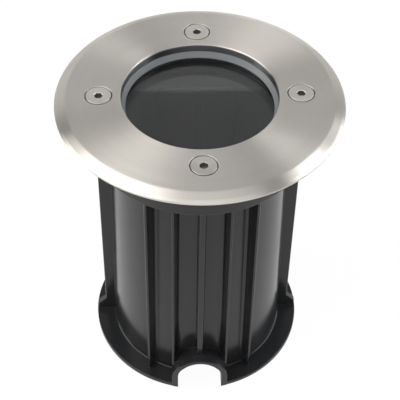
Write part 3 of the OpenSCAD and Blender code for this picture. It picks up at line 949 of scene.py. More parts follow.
class Finish(Enum):
    """Every finish of the light."""

    SLEEVE = MouldedPlastic("sleeve_plastic", (0.0145, 0.015, 0.0162), 0.19, gloss=0.28)
    POT = MouldedPlastic("pot_plastic", (0.009, 0.009, 0.01), 0.55, gloss=0.25)
    GLAND = MouldedPlastic("gland_plastic", (0.018, 0.018, 0.019), 0.45)
    RUBBER = MouldedPlastic("seal_rubber", (0.012, 0.012, 0.012), 0.6, edge_gain=0.2)
    # The gasket is painted in shade under the glass.
    SILICONE = MouldedPlastic(
        "gasket_silicone", (0.138, 0.147, 0.155), 0.42, grain=0.0004, edge_gain=0.15, painted_shade_level=0.1225
    )
    # The trim's window wall is painted in shade.
    TRIM = Metal("spun_steel", (0.61, 0.583, 0.543), 0.37, 0.92, Lay.TURNED, painted_shade_reach=0.03002)
    SCREW = Metal("screw_steel", (0.61, 0.59, 0.555), 0.36, line=0.0004, sockets=True)
    ZINC = Metal("zinc_steel", (0.60, 0.61, 0.63), 0.34, line=0.0005)
    BRASS = Metal("brass", (0.72, 0.53, 0.22), 0.3, line=0.0005)
    PAINT = MouldedPlastic(
        "bracket_paint", (0.016, 0.016, 0.015), 0.5, grain=0.0004, edge_gain=0.1, gloss=0.3
    )
    CERAMIC = MouldedPlastic("holder_ceramic", (0.72, 0.68, 0.6), 0.45, edge_gain=0.05)
    NYLON = MouldedPlastic("block_plastic", (0.62, 0.61, 0.55), 0.4, edge_gain=0.05)
    BROWN = MouldedPlastic("lead_brown", (0.075, 0.03, 0.014), 0.4, edge_gain=0.1)
    BLUE = MouldedPlastic("lead_blue", (0.012, 0.045, 0.16), 0.4, edge_gain=0.1)
    GLASS = ClearGlass("lens_glass", (0.93, 0.97, 0.965))


@dataclass
class Assembly:
    """A sub-assembly, which lists its pieces with the CAD nodes that they stand for and their finishes."""

    looks: dict[Finish, Material]
    repeats: Repeats
    pieces: list[tuple[Piece, str, Finish]] = field(default_factory=list, init=False)

    def build(self) -> None:
        """Makes and lists the pieces."""
        raise NotImplementedError

    def take(self, piece: Piece, node: str, finish: Finish) -> None:
        """Lists a piece with its node and finish."""
        self.pieces.append((piece, node, finish))

    def take_eased(self, node: str, name: str, width: float, finish: Finish) -> None:
        """Lists a node's own mesh under a name, with its edges rounded to a width in mm."""
        self.take(eased_copy(node, name, width), node, finish)

    def dress(self) -> None:
        """Puts each piece in its node's place with its finish."""
        for piece, node, finish in self.pieces:
            stand_for(piece, node, self.looks[finish])


@dataclass
class TrimRing(Assembly):
    """Spun stainless trim ring, its window and its four counterbored holes."""

    outer_r: float = 55.0
    bevel_r: float = 50.9
    window_r: float = WINDOW_R
    top_z: float = TOP_Z
    thickness: float = 3.0
    edge_ease: float = 0.25
    rim_h: float = 0.75
    rim_ease: float = 0.45
    shoulder_in: float = 1.1
    shoulder_drop: float = 1.45
    shoulder_ease: float = 2.2
    bevel_ease: float = 2.6
    window_ease: float = 0.75
    screw_ring_r: float = SCREW_RING_R
    counterbore_r: float = 5.25
    counterbore_depth: float = 2.1
    counterbore_chamfer: float = 0.1
    hole_r: float = 2.8

    def build(self) -> None:
        """Turns the ring with its rolled edge and cuts the holes."""
        under, top = self.top_z - self.thickness, self.top_z
        ring = lathe("spun_trim", [
            (self.window_r, under, self.edge_ease),
            (self.outer_r, under, self.edge_ease),
            (self.outer_r, under + self.rim_h, self.rim_ease),
            (self.outer_r - self.shoulder_in, top - self.shoulder_drop, self.shoulder_ease),
            (self.bevel_r, top, self.bevel_ease),
            (self.window_r, top, self.window_ease),
        ], sides=192)
        holes = [placed(self._hole(), side.on_ring(self.screw_ring_r), side.value) for side in Side]
        self.take(smooth(combine(ring, Join.CUT, *holes)), "trim_ring", Finish.TRIM)

    def _hole(self) -> Piece:
        """Makes the tool of one counterbored hole, whose mouth is chamfered."""
        seat, chamfer = self.top_z - self.counterbore_depth, self.counterbore_chamfer
        return solid("hole", [
            (self.hole_r, self.top_z - self.thickness - OVERRUN),
            (self.hole_r, seat),
            (self.counterbore_r, seat),
            (self.counterbore_r, self.top_z - chamfer),
            (self.counterbore_r + 2 * chamfer, self.top_z + chamfer),
        ], sides=48)


@dataclass
class CoverScrews(Assembly):
    """Four threaded socket screws with a sealing washer under each head."""

    ring_r: float = SCREW_RING_R
    top_z: float = TOP_Z
    head_r: float = 4.8
    head_h: float = 1.6
    head_ease: float = 0.15
    head_gap: float = 0.02
    brim_ease: float = 0.16
    shank_r: float = 2.5
    shank_h: float = 2.2
    length: float = 11.6
    tip: float = 0.5
    tip_in: float = 0.4
    thread_depth: float = 0.38
    thread_run: float = 0.4
    pitch: float = 0.8
    socket: float = 3.0
    socket_depth: float = 1.9
    socket_draft_share: float = 0.96
    entry_share: float = 1.12
    entry_h: float = 0.15
    entry_over: float = 0.1
    washer_r: float = 4.95
    washer_in_r: float = 2.6
    washer_t: float = 0.5
    washer_eases: Point2 = (0.1, 0.18)

    def build(self) -> None:
        """Turns one screw and one washer and copies them to the four places."""
        screw, washer = self._screw(), self._washer()
        for master, label, finish in ((screw, "screw", Finish.SCREW), (washer, "washer", Finish.RUBBER)):
            for side in Side:
                name = f"{label}_{side.name.lower()}"
                copy = link_object(f"cover_{name}", master.data.copy())
                self.take(placed(copy, side.on_ring(self.ring_r), side.value), name, finish)
            bpy.data.meshes.remove(master.data)

    def _screw(self) -> Piece:
        """Makes the screw on the Z axis, with its socket and thread.

        Returns:
            The screw.
        """
        under, core = self.top_z - self.head_h, self.shank_r - self.thread_depth
        end, plain, seat = under - self.length, under - self.shank_h, under + self.head_gap
        screw = solid("screw", [
            (core - self.tip_in, end),
            (core, end + self.tip),
            (core, plain - self.thread_run),
            (self.shank_r, plain),
            (self.shank_r, seat),
            (self.head_r, seat, self.head_ease),
            (self.head_r, self.top_z, self.brim_ease),
        ], sides=64)
        levels = (
            (self.socket_draft_share, self.top_z - self.socket_depth),
            (1.0, self.top_z - self.entry_h),
            (self.entry_share, self.top_z + self.entry_over),
        )
        key = loft("socket", [[(x, y, z) for x, y in hexagon(self.socket, share)] for share, z in levels])
        smooth(combine(screw, Join.CUT, key))
        return self.repeats.wind(screw, self.looks[Finish.SCREW], core, self.thread_depth, self.pitch,
                                 end + self.tip, plain - self.thread_run, flats=28)

    def _washer(self) -> Piece:
        """Makes the washer on the Z axis.

        Returns:
            The washer.
        """
        top, under = self.top_z - self.head_h, self.top_z - self.head_h - self.washer_t
        in_ease, ease = self.washer_eases
        return smooth(lathe("washer", [
            (self.washer_in_r, top, in_ease),
            (self.washer_in_r, under, in_ease),
            (self.washer_r, under, ease),
            (self.washer_r, top, ease),
        ], sides=64))


@dataclass
class LensPack(Assembly):
    """Toughened glass in its silicone gasket."""

    glass_r: float = 32.4
    glass_top_z: float = 123.1
    glass_t: float = 5.0
    arris: float = 0.45
    arris_eases: Point2 = (0.12, 0.2)
    glass_gap: float = 0.05
    lip_r: float = 28.3
    lip_eases: Point2 = (0.35, 0.1)
    window_r: float = WINDOW_R
    gasket_r: float = 33.95
    gasket_top_z: float = 125.4
    gasket_under_z: float = 116.6
    gasket_ease: float = 0.4
    lip_under_r: float = 31.2
    lip_under_ease: float = 0.2

    def build(self) -> None:
        """Turns the glass with its ground edge, and the gasket with its two lips."""
        top, under = self.glass_top_z, self.glass_top_z - self.glass_t
        flat_ease, side_ease = self.arris_eases
        glass = solid("toughened_glass", [
            (self.glass_r - self.arris, under, flat_ease),
            (self.glass_r, under + self.arris, side_ease),
            (self.glass_r, top - self.arris, side_ease),
            (self.glass_r - self.arris, top, flat_ease),
        ], sides=160)
        groove = self.glass_r + self.glass_gap
        window_ease, lip_ease = self.lip_eases
        gasket = lathe("lipped_gasket", [
            (self.lip_under_r, self.gasket_under_z, self.gasket_ease),
            (self.gasket_r, self.gasket_under_z, self.gasket_ease),
            (self.gasket_r, self.gasket_top_z, self.gasket_ease),
            (self.window_r, self.gasket_top_z, window_ease),
            (self.lip_r, top, lip_ease),
            (groove, top),
            (groove, under),
            (self.lip_under_r, under, self.lip_under_ease),
        ], sides=160)
        self.take(smooth(glass), "glass_lens", Finish.GLASS)
        self.take(smooth(gasket), "lens_gasket", Finish.SILICONE)


@dataclass
class GroundSleeve(Assembly):
    """Ribbed plastic sleeve that stays in the ground, with a foot plate and two hooded cable arches."""

    top_z: float = 112.4
    collar_under_z: float = 107.0
    collar_r: float = 42.45
    collar_eases: Point3 = (0.6, 0.4, 0.45)
    bore_foot_r: float = 35.2
    bore_top_r: float = 33.0
    bore_chamfers: Point2 = (0.3, 0.35)
    wall: float = 1.8
    foot_r: float = 45.2
    foot_t: float = 2.0
    foot_eases: Point2 = (0.3, 0.4)
    foot_fillet: float = 0.8
    rib_foot_r: float = 41.2
    rib_top_r: float = 40.6
    rib_low_z: float = 0.5
    rib_ease: float = 0.55
    rib_t: float = 1.3
    mid_rib_t: float = 2.4
    fin_t: float = 2.8
    rib_draft: float = 0.35
    rib_pitch: float = 16.0
    root_fillet: float = 1.3
    root_share: float = 0.9
    skirt_in: float = 0.06
    fin_fillet: float = 0.35
    flare_edge_z: float = 4.6
    flare_top_z: float = 8.8
    flare_in: float = 0.6
    flare_top_in: float = 0.3
    flare_eases: Point2 = (0.5, 0.8)
    flare_edge: float = 0.3
    arch_r: float = 9.3
    arch_centre_z: float = 7.7
    arch_span: Point2 = (-60.0, -20.0)
    hood_r: float = 11.9
    hood_centre_z: float = 6.5
    hood_front_r: float = 44.4
    hood_span: Point2 = (-50.0, -34.0)
    hood_edge: float = 0.55
    lean_half: float = 20.0
    lean_reach: float = 30.0
    lean_over: float = 0.5
    rim_gap: float = 0.1
    key_turn: float = 135.0
    key_half: float = 2.8
    key_reach: Point2 = (-40.85, -37.85)
    key_depth: float = 2.3

    def build(self) -> None:
        """Turns the tube, adds ribs, fins and hoods, and cuts the bore, the arches and the key's pocket."""
        body = solid("sleeve_body", [
            (self.foot_r, 0.0, self.foot_eases[0]),
            (self.foot_r, self.foot_t, self.foot_eases[1]),
            (self._outer(self.foot_t), self.foot_t, self.foot_fillet),
            (self._outer(self.collar_under_z), self.collar_under_z, self.collar_eases[0]),
            (self.collar_r, self.collar_under_z, self.collar_eases[1]),
            (self.collar_r, self.top_z, self.collar_eases[2]),
        ], sides=180)
        rib = self._rib("rib", self.rib_t, self.rib_low_z, self.root_fillet)
        parts = []
        for side in (Side.FRONT, Side.BACK):
            for start in (side.value - 2 * self.rib_pitch, side.value + self.rib_pitch):
                parts.append(self._row(link_object("rib_row", rib.data.copy()), start, self.rib_pitch))
        bpy.data.meshes.remove(rib.data)
        crown = self.hood_centre_z + self.hood_r - OVERRUN
        for piece, first in (
            (self._rib("mid_rib", self.mid_rib_t, crown, self.fin_fillet), Side.FRONT),
            (self._rib("fin", self.fin_t, self.rib_low_z, self.fin_fillet), Side.RIGHT),
            (self._flare(), Side.RIGHT),
            (self._hood(), Side.FRONT),
        ):
            parts.append(self._row(piece, first.value, Side.BACK.value))
        combine(body, Join.ADD, *parts)
        foot_chamfer, top_chamfer = self.bore_chamfers
        bore = solid("bore", [
            (self.bore_foot_r + foot_chamfer + OVERRUN, -OVERRUN),
            (self.bore_foot_r, foot_chamfer),
            (self.bore_top_r, self.top_z - top_chamfer),
            (self.bore_top_r + top_chamfer + OVERRUN, self.top_z + OVERRUN),
        ], sides=180)
        opening = arch(self.arch_r, self.arch_centre_z, -OVERRUN)
        arches = [placed(prism("arch", opening, *self.arch_span, "Y"), turn=side.value)
                  for side in (Side.FRONT, Side.BACK)]
        pocket = prism("pocket", oblong(self.key_half, *self.key_reach), self.top_z - self.key_depth,
                       self.top_z + OVERRUN)
        combine(body, Join.CUT, bore, *arches, placed(pocket, turn=self.key_turn))
        self.take(smooth(body), "ground_sleeve", Finish.SLEEVE)

    def _outer(self, height: float) -> float:
        """Gives the tube's outer radius at a height."""
        return self.bore_foot_r + self.wall + (self.bore_top_r - self.bore_foot_r) * height / self.top_z

    def _row(self, piece: Piece, first: float, pitch: float) -> Piece:
        """Repeats a piece twice round the tube, from a first angle, in degrees."""
        return self.repeats.ring(piece, self.looks[Finish.SLEEVE], 2, pitch, first)

    def _rib(self, name: str, tip_t: float, low: float, fillet: float) -> Piece:
        """Lofts one rib on the front, with drafted sides, round edges and filleted roots.

        Args:
            name: The rib's name.
            tip_t: Thickness of its outer face.
            low: Height of its foot.
            fillet: Size of its roots' fillets.

        Returns:
            The rib.
        """
        half = tip_t / 2
        base = half + self.rib_draft
        skirt = base + fillet
        sections = []
        for height in (low, self.collar_under_z + OVERRUN):
            root = self._outer(height)
            tip = self.rib_foot_r + (self.rib_top_r - self.rib_foot_r) * height / self.collar_under_z
            side = [
                (skirt, self.wall / 2 - root, 0.0),
                (skirt, self.skirt_in - root, 0.0),
                (base, -root, fillet * self.root_share),
                (half, -tip, self.rib_ease),
            ]
            outline = side + [(-x, y, ease) for x, y, ease in reversed(side)]
            sections.append([(x, y, height) for x, y in eased(outline, 3)])
        return loft(name, sections)

    def _flare(self) -> Piece:
        """Makes the flared foot of a side fin, on the front.

        Returns:
            The foot.
        """
        inner, outer = self.flare_in - self._outer(self.flare_top_z), self.rib_draft - self.foot_r
        outline = eased([
            (inner, self.rib_low_z),
            (outer, self.rib_low_z),
            (outer, self.flare_edge_z, self.flare_eases[0]),
            (self.flare_top_in - self.rib_foot_r, self.flare_top_z, self.flare_eases[1]),
            (inner, self.flare_top_z),
        ])
        return soften(prism("flare", outline, -self.fin_t / 2, self.fin_t / 2, "X"), self.flare_edge)

    def _hood(self) -> Piece:
        """Makes the hood over the front arch, whose mouth leans back from the foot plate's rim.

        Returns:
            The hood.
        """
        half, reach = self.lean_half, self.lean_reach
        top = self.hood_centre_z + self.hood_r + self.lean_over
        hood = prism("hood", arch(self.hood_r, self.hood_centre_z, 0.0, 40), *self.hood_span, "Y")
        disc = rod("disc", self.foot_r, -OVERRUN, reach, 180)
        lean = prism("lean", [
            (-reach, -OVERRUN),
            (-self.foot_r - OVERRUN, -OVERRUN),
            (-self.foot_r - self.rim_gap, self.foot_t),
            (-self.hood_front_r, top),
            (-reach, top),
        ], -half, half, "X")
        return soften(combine(hood, Join.KEEP, disc, lean), self.hood_edge, 40.0, 3)


@dataclass
class LampPot(Assembly):
    """Sealed pot with its flange ring and the brass inserts of the cover screws."""

    pot_r: float = 32.6
    cavity_r: float = 30.8
    under_z: float = 37.4
    floor_z: float = POT_FLOOR_Z
    joint_z: float = 112.6
    pot_eases: Point2 = (1.2, 0.9)
    gland_y: float = GLAND_Y
    gland_hole_r: float = 8.05
    post_r: float = 3.4
    post_foot: Point2 = (0.7, 0.9)
    post_skirt: float = 0.01
    post_ease: float = 0.3
    post_top_z: float = 46.7
    post_place: Point2 = POST_PLACE
    pilot_r: float = 1.5
    pilot_l: float = 6.0
    flange_ease: float = 0.3
    insert_r: float = 3.2
    insert_top_z: float = 125.2
    insert_l: float = 9.5
    insert_bore_r: float = 2.6
    insert_eases: Point2 = (0.15, 0.3)
    groove_in: float = 0.2
    groove_half: float = 0.6
    knurls: int = 24
    knurl_half: float = 0.16
    knurl_in: float = 0.3
    knurl_gap: float = 0.2
    knurl_ends: Point2 = (0.3, 0.4)
    screw_ring_r: float = SCREW_RING_R

    def build(self) -> None:
        """Turns the pot with its posts, eases the flange ring, and makes the knurled inserts."""
        under_ease, floor_ease = self.pot_eases
        pot = solid("pot_shell", [
            (self.pot_r, self.under_z, under_ease),
            (self.pot_r, self.joint_z),
            (self.cavity_r, self.joint_z),
            (self.cavity_r, self.floor_z, floor_ease),
        ], sides=160)
        posts, holes = [], []
        for side in (-1, 1):
            place = (side * self.post_place[0], self.post_place[1], 0.0)
            foot, mouth = self.post_top_z - self.pilot_l, self.post_top_z + OVERRUN
            pilot = rod("pilot", self.pilot_r, foot, mouth, 32)
            posts.append(placed(self._post(), place))
            holes.append(placed(pilot, place))
        entry = rod("entry", self.gland_hole_r, self.under_z - OVERRUN, self.floor_z + OVERRUN, 64)
        combine(pot, Join.ADD, *posts)
        combine(pot, Join.CUT, placed(entry, (0.0, self.gland_y, 0.0)), *holes)
        self.take(smooth(pot), "lamp_pot", Finish.POT)
        self.take_eased("pot_flange", "flange_ring", self.flange_ease, Finish.POT)
        self.take(self._inserts(), "screw_inserts", Finish.BRASS)

    def _post(self) -> Piece:
        """Makes one of the posts that carry the bracket, on the Z axis."""
        flare, flare_h = self.post_foot
        return solid("post", [
            (self.post_r + flare, self.floor_z - OVERRUN),
            (self.post_r + flare, self.floor_z + self.post_skirt),
            (self.post_r, self.floor_z + flare_h),
            (self.post_r, self.post_top_z, self.post_ease),
        ], sides=40)

    def _inserts(self) -> Piece:
        """Makes the four inserts: a grooved sleeve with knurls above and below the groove.

        Returns:
            The inserts, as one object.
        """
        top, low = self.insert_top_z, self.insert_top_z - self.insert_l
        middle, outer = (top + low) / 2, self.insert_r - self.groove_in
        under, over = middle - self.groove_half, middle + self.groove_half
        ease, mouth_ease = self.insert_eases
        sleeve = lathe("inserts", [
            (self.insert_bore_r, low, ease),
            (outer, low, ease),
            (outer, under),
            (outer - self.groove_in, under),
            (outer - self.groove_in, over),
            (outer, over),
            (outer, top, ease),
            (self.insert_bore_r, top, mouth_ease),
        ], sides=48)
        brass = self.looks[Finish.BRASS]
        foot = self.knurl_in - self.insert_r
        knurl = [(-self.knurl_half, foot), (self.knurl_half, foot), (0.0, -self.insert_r)]
        gap, (after, before) = self.knurl_gap, self.knurl_ends
        for start, end in ((low + after, under - gap), (over + gap, top - before)):
            row = prism("knurls", knurl, start, end)
            merge(sleeve, self.repeats.ring(row, brass, self.knurls, 360 / self.knurls))
        placed(smooth(sleeve), Side.FRONT.on_ring(self.screw_ring_r))
        return self.repeats.ring(sleeve, brass, len(Side), Side.RIGHT.value)


def pan_screw(repeats: Repeats, finish: Material, radius: float, length: float) -> Piece:
    """Makes a slotted pan-head screw that points down from z = 0.

    Args:
        repeats: The trees that wind its thread.
        finish: Its metal.
        radius: Radius of its thread, in mm.
        length: Its length under the head.

    Returns:
        The screw.
    """
    head_r, head_h, depth, pitch = radius * 1.9, radius * 1.4, radius * 0.16, radius * 0.4
    core, tip_r, tip_h = radius - depth, radius * 0.5, radius * 0.5
    slot_half, slot_depth, slot_turn, head_ease, run = 0.3, 0.6, 62.0, 0.1, 0.3
    screw = solid("pan_screw", [
        (tip_r, -length),
        (core, tip_h - length),
        (core, 0.0),
        (head_r, 0.0, head_ease),
        (head_r, head_h, head_h * 0.55),
    ], sides=40)
    slot = prism("slot", oblong(slot_half, -head_r - OVERRUN, head_r + OVERRUN), head_h - slot_depth,
                 head_h + OVERRUN)
    combine(screw, Join.CUT, placed(slot, turn=slot_turn))
    return repeats.wind(smooth(screw), finish, core, depth, pitch, tip_h - length, -tip_h - run, flats=20)


@dataclass
class LampMount(Assembly):
    """Bracket, lampholder and the screws between them, inside the pot."""

    foot_ease: float = 0.2
    plate_ease: float = 0.25
    holder_ease: float = 0.35
    contact_ease: float = 0.12
    foot_top_z: float = 48.2
    post_place: Point2 = POST_PLACE
    foot_screw: Point2 = (1.45, 7.0)
    ear_x: float = 14.5
    ear_h: float = 5.0
    ear_screw: Point2 = (1.5, 7.4)

    def build(self) -> None:
        """Eases the pressed and moulded pieces and makes the screws."""
        self.take_eased("lamp_bracket", "bracket_foot", self.foot_ease, Finish.PAINT)
        self.take_eased("bracket_plate", "bracket_upright", self.plate_ease, Finish.PAINT)
        self.take_eased("lampholder", "holder_body", self.holder_ease, Finish.CERAMIC)
        self.take_eased("lampholder_contacts", "holder_contacts", self.contact_ease, Finish.BRASS)
        ear = (self.ear_x, 0.0, self.foot_top_z + self.ear_h)
        self._pair("foot_screws", "bracket_screws", self.foot_screw, (*self.post_place, self.foot_top_z))
        self._pair("ear_screws", "lampholder_screws", self.ear_screw, ear)

    def _pair(self, name: str, node: str, size: Point2, place: Point3) -> None:
        """Makes a pair of screws, one on each side.

        Args:
            name: The pair's name.
            node: The node that it stands for.
            size: Radius and length of a screw.
            place: Where the right screw's head sits.
        """
        x, y, z = place
        zinc = self.looks[Finish.ZINC]
        pair = placed(pan_screw(self.repeats, zinc, *size), (x, 0.0, z))
        pair.name = name
        self.repeats.ring(pair, zinc, 2, Side.BACK.value)
        self.take(placed(pair, (0.0, y, 0.0)), node, Finish.ZINC)


@dataclass
class Wiring(Assembly):
    """Terminal block with its clamps and screws, and the two leads to the lampholder."""

    block_ease: float = 0.3
    clamp_ease: float = 0.1

    def build(self) -> None:
        """Eases the moulded block, its clamps and their screws."""
        self.take_eased("terminal_block", "block_body", self.block_ease, Finish.NYLON)
        self.take_eased("terminal_clamps", "block_clamps", self.clamp_ease, Finish.BRASS)
        self.take_eased("terminal_screws", "block_screws", self.clamp_ease, Finish.ZINC)

    def dress(self) -> None:
        """Gives each piece its finish, and the two leads their colours."""
        super().dress()
        for node, finish in (("lead_live", Finish.BROWN), ("lead_neutral", Finish.BLUE)):
            dress_node(node, self.looks[finish])


@dataclass
class CableGland(Assembly):
    """Screwed gland in the pot's floor: body, seal, locknut, rubber insert and dome nut."""

    place_y: float = GLAND_Y
    flats: float = 21.0
    flats_in: float = 0.2
    corner_over: float = 0.1
    corner_h: float = 0.8
    corner_ease: float = 0.15
    thread_r: float = 8.0
    thread_depth: float = 0.6
    thread_ends: Point2 = (0.6, 0.7)
    pitch: float = 1.5
    shaft_ease: float = 0.4
    hex_top_z: float = 36.2
    hex_z: float = 31.2
    end_z: float = 22.2
    thread_top_z: float = 45.3
    bore_r: float = 5.0
    seat_r: float = 6.5
    fit: float = 0.05
    floor_z: float = POT_FLOOR_Z
    plain_h: float = 2.6
    locknut_h: float = 4.4
    seal_t: float = 1.2
    seal_r: float = 10.95
    seal_eases: Point2 = (0.15, 0.35)
    insert_r: float = 6.2
    insert_bore_r: float = 3.6
    insert_top_z: float = 30.8
    insert_end_z: float = 21.2
    insert_eases: Point3 = (0.5, 0.8, 0.4)
    nut_top_z: float = 30.8
    nut_hex_h: float = 6.0
    nut_end_z: float = 15.8
    nut_r: float = 9.7
    nut_end_r: float = 7.6
    nut_in_r: float = 8.3
    nut_mouth_r: float = 4.35
    dome_h: float = 3.7
    dome_eases: Point2 = (0.8, 2.4)
    dome_in: float = 0.5
    room_gap: float = 0.3
    grips: int = 20
    grip_halves: Point2 = (0.5, 0.2)
    grip_reach: Point2 = (0.2, 0.35)
    grip_ends: Point2 = (4.6, 0.1)

    def build(self) -> None:
        """Makes the five pieces and moves them to the entry."""
        body, nut = self._body(), self._nut()
        shaft_r = self.thread_r + self.fit
        locknut = self._blank("locknut_ring", self.floor_z, self.floor_z + self.locknut_h)
        hole = rod("hole", shaft_r, self.floor_z - OVERRUN, self.floor_z + self.locknut_h + OVERRUN)
        seal_top, (in_ease, ease) = self.hex_top_z + self.seal_t, self.seal_eases
        seal = lathe("flat_seal", [
            (shaft_r, self.hex_top_z, in_ease), (shaft_r, seal_top, in_ease),
            (self.seal_r, seal_top, ease), (self.seal_r, self.hex_top_z, ease),
        ], sides=80)
        bore_ease, end_ease, top_ease = self.insert_eases
        insert = lathe("sealing_insert", [
            (self.insert_bore_r, self.insert_end_z, bore_ease), (self.insert_r, self.insert_end_z, end_ease),
            (self.insert_r, self.insert_top_z, top_ease), (self.insert_bore_r, self.insert_top_z, bore_ease),
        ], sides=64)
        self.take(body, "gland_body", Finish.GLAND)
        self.take(smooth(combine(locknut, Join.CUT, hole)), "gland_locknut", Finish.GLAND)
        self.take(nut, "gland_nut", Finish.GLAND)
        self.take(smooth(seal), "gland_washer", Finish.RUBBER)
        self.take(smooth(insert), "gland_insert", Finish.RUBBER)
        for piece, *_ in self.pieces:
            placed(piece, (0.0, self.place_y, 0.0))

    def _body(self) -> Piece:
        """Makes the gland's body with its two threads.

        Returns:
            The body.
        """
        core, top = self.thread_r - self.thread_depth, self.thread_top_z + OVERRUN
        body = self._blank("gland_shell", self.hex_z, self.hex_top_z)
        ends = (self.end_z, self.thread_top_z)
        shaft = solid("shaft", [(core, height, self.shaft_ease) for height in ends], 72)
        combine(body, Join.ADD, shaft)
        combine(body, Join.CUT, rod("bore", self.bore_r, self.end_z - OVERRUN, top),
                rod("seat", self.seat_r, self.end_z - OVERRUN, self.hex_z))
        smooth(body)
        after, before = self.thread_ends
        inside = self.hex_top_z + self.seal_t + self.plain_h
        for low, high in ((inside, self.thread_top_z), (self.end_z, self.hex_z)):
            self.repeats.wind(body, self.looks[Finish.GLAND], core, self.thread_depth, self.pitch,
                              low + after, high - before, flats=64)
        return body

    def _blank(self, name: str, low: float, high: float) -> Piece:
        """Makes a hexagon with turned-down corners.

        Args:
            name: Its name.
            low: Height of its foot.
            high: Height of its top.

        Returns:
            The blank.
        """
        inner = self.flats / 2 - self.flats_in
        outer = self.flats / 2 / math.cos(math.pi / 6) + self.corner_over
        turned = solid("turned", [
            (inner, low), (outer, low + self.corner_h), (outer, high - self.corner_h), (inner, high),
        ], sides=96)
        blank = combine(prism(name, hexagon(self.flats), low, high), Join.KEEP, turned)
        return soften(blank, self.corner_ease, 40.0)

    def _nut(self) -> Piece:
        """Makes the dome nut with grips round its dome.

        Returns:
            The nut.
        """
        hex_z, over = self.nut_top_z - self.nut_hex_h, self.nut_top_z + OVERRUN
        end_ease, dome_ease = self.dome_eases
        nut = self._blank("dome_nut", hex_z, self.nut_top_z)
        dome = solid("dome", [
            (self.nut_end_r, self.nut_end_z, end_ease),
            (self.nut_r, self.nut_end_z + self.dome_h, dome_ease),
            (self.nut_r, self.nut_top_z - self.dome_in),
        ], sides=96)
        combine(nut, Join.ADD, dome)
        combine(nut, Join.CUT, rod("room", self.nut_in_r, self.insert_end_z - self.room_gap, over),
                rod("mouth", self.nut_mouth_r, self.nut_end_z - OVERRUN, over))
        (foot_half, tip_half), (sink, rise), (foot, head) = self.grip_halves, self.grip_reach, self.grip_ends
        root, tip = sink - self.nut_r, -self.nut_r - rise
        ridge = [(-foot_half, root), (foot_half, root), (tip_half, tip), (-tip_half, tip)]
        grips = prism("grips", ridge, self.nut_end_z + foot, hex_z - head)
        self.repeats.ring(grips, self.looks[Finish.GLAND], self.grips, 360 / self.grips)
        return merge(smooth(nut), grips)


@dataclass(frozen=True)
class SoftBox:
    """One square area lamp that looks at the light's middle, in metres."""

    name: str
    place: Point3
    size: float
    watts: float
    colour: Colour = (1.0, 1.0, 1.0)
    target: Point3 = (0.0, 0.0, 0.07)

    def build(self) -> None:
        """Adds the lamp."""
        lamp = bpy.data.lights.new(self.name, "AREA")
        lamp.shape = "SQUARE"
        lamp.size = self.size
        lamp.energy = self.watts
        lamp.color = self.colour
        holder = bpy.data.objects.new(self.name, lamp)
        bpy.context.scene.collection.objects.link(holder)
        turn = (Vector(self.target) - Vector(self.place)).to_track_quat("-Z", "Y").to_matrix().to_4x4()
        holder.matrix_world = Matrix.Translation(self.place) @ turn


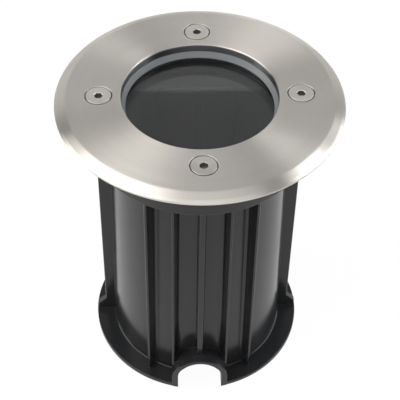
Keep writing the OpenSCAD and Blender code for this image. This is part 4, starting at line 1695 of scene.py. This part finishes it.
@dataclass
class Studio:
    """Floor, backdrop, world, lamps and the photograph's camera: lens and sensor in mm, the rest in metres."""

    lens: float = 97.13
    sensor: float = 36.0
    near: float = 0.01
    camera_place: Point3 = (-0.014305, -0.309064, 0.394721)
    camera_turn: Point3 = (43.6928, -0.7978, -1.9526)
    world_levels: Point2 = (0.95, 0.46)
    world_depths: Point2 = (-0.75, 0.6)
    world_side: float = 0.12
    world_asides: Point2 = (0.15, 0.85)
    floor_half: float = 3.0
    floor_drop: float = -0.0002
    floor_colour: Colour = (0.9, 0.9, 0.9)
    floor_white: float = 0.96
    floor_gleam: float = 0.45
    backdrop_half: float = 1.6
    backdrop_y: float = 1.0
    backdrop_top: float = 0.97
    backdrop_colour: Colour = (0.6, 0.6, 0.6)
    paper_rough: float = 0.9
    boxes: tuple[SoftBox, ...] = (
        SoftBox("left_box", (-0.84, -0.24, 1.12), 1.2, 17.0, (1.0, 0.985, 0.96)),
        SoftBox("low_left_box", (-1.12, 0.12, 0.38), 0.55, 4.8, (1.0, 0.985, 0.96)),
        SoftBox("right_box", (1.0, 0.0, 0.8), 0.52, 6.5, (0.985, 0.99, 1.0)),
        SoftBox("low_right_box", (1.08, 0.36, 0.3), 0.55, 3.8, (0.985, 0.99, 1.0)),
        SoftBox("front_box", (0.26, -0.92, 1.0), 1.2, 3.4),
    )

    def build(self) -> None:
        """Builds the studio."""
        half = self.floor_half
        floor = [(x, y, self.floor_drop) for x, y in oblong(half, -half, half)]
        backdrop = [(x, self.backdrop_y, z) for x, z in oblong(self.backdrop_half, 0.0, self.backdrop_top)]
        self._sheet("floor", floor, self.floor_colour, self.floor_white, self.floor_gleam)
        self._sheet("backdrop", backdrop, self.backdrop_colour, 1.0, 0.0)
        self._world()
        for box in self.boxes:
            box.build()
        self._camera()
        LOG.info("studio: floor, backdrop, world, %d soft boxes, camera", len(self.boxes))

    def _sheet(self, name: str, corners: list[Point3], colour: Colour, white: float, gleam: float) -> None:
        """Makes one flat stage sheet of paper.

        Args:
            name: Its name.
            corners: Its four corners.
            colour: Its colour.
            white: Share of plain white that the camera sees in it.
            gleam: Share of plain white that reflections see in it.
        """
        mesh = bpy.data.meshes.new(name)
        mesh.from_pydata(corners, [], [(0, 1, 2, 3)])
        material = bpy.data.materials.new(f"{name}_paper")
        material.use_nodes = True
        sheet = NodeSheet(material.node_tree)
        paper = sheet.feed(sheet.found("BSDF_PRINCIPLED"), Base_Color=colour, Roughness=self.paper_rough,
                           Specular_IOR_Level=0.0)
        plain = sheet.add("ShaderNodeEmission", Color=(1.0, 1.0, 1.0), Strength=1.0)[0]
        rays = sheet.add("ShaderNodeLightPath")
        seen = sheet.math("MAXIMUM", sheet.math("MULTIPLY", rays["Is Camera Ray"], white),
                          sheet.math("MULTIPLY", rays["Is Glossy Ray"], gleam))
        mixed = sheet.add("ShaderNodeMixShader", seen, paper.outputs[0], plain)[0]
        sheet.feed(sheet.found("OUTPUT_MATERIAL"), Surface=mixed)
        mesh.materials.append(material)
        link_object(name, mesh)

    def _world(self) -> None:
        """Sets the surround, brighter before and behind the light than at its sides, and white in view."""
        world = bpy.data.worlds.new("studio")
        world.use_nodes = True
        bpy.context.scene.world = world
        sheet = NodeSheet(world.node_tree)
        x, y, _ = sheet.split(sheet.add("ShaderNodeTexCoord")["Generated"])
        aside = sheet.spread(sheet.math("ABSOLUTE", x), *self.world_asides, 1.0, self.world_side)
        along = sheet.spread(y, *self.world_depths, *self.world_levels)
        seen = sheet.add("ShaderNodeLightPath")["Is Camera Ray"]
        level = sheet.math("MAXIMUM", sheet.math("MULTIPLY", aside, along), seen)
        sheet.feed(sheet.found("BACKGROUND"), Color=(1.0, 1.0, 1.0), Strength=level)

    def _camera(self) -> None:
        """Sets the camera at the photograph's place and turn."""
        camera = bpy.data.cameras.new("camera")
        camera.lens = self.lens
        camera.sensor_width = self.sensor
        camera.clip_start = self.near
        holder = bpy.data.objects.new("camera", camera)
        holder.location = self.camera_place
        holder.rotation_euler = tuple(math.radians(angle) for angle in self.camera_turn)
        bpy.context.scene.collection.objects.link(holder)
        bpy.context.scene.camera = holder
        bpy.context.scene.view_settings.view_transform = "Standard"


def main() -> None:
    """Builds the studio and every sub-assembly of the light, and dresses them."""
    logging.basicConfig(level=logging.INFO, format="%(message)s")
    Studio().build()
    effects, repeats = Effects(), Repeats()
    looks = {finish: finish.value.material(effects) for finish in Finish}
    for kind in (TrimRing, CoverScrews, LensPack, GroundSleeve, LampPot, LampMount, Wiring, CableGland):
        assembly = kind(looks, repeats)
        assembly.build()
        assembly.dress()


if __name__ == "__main__":
    main()
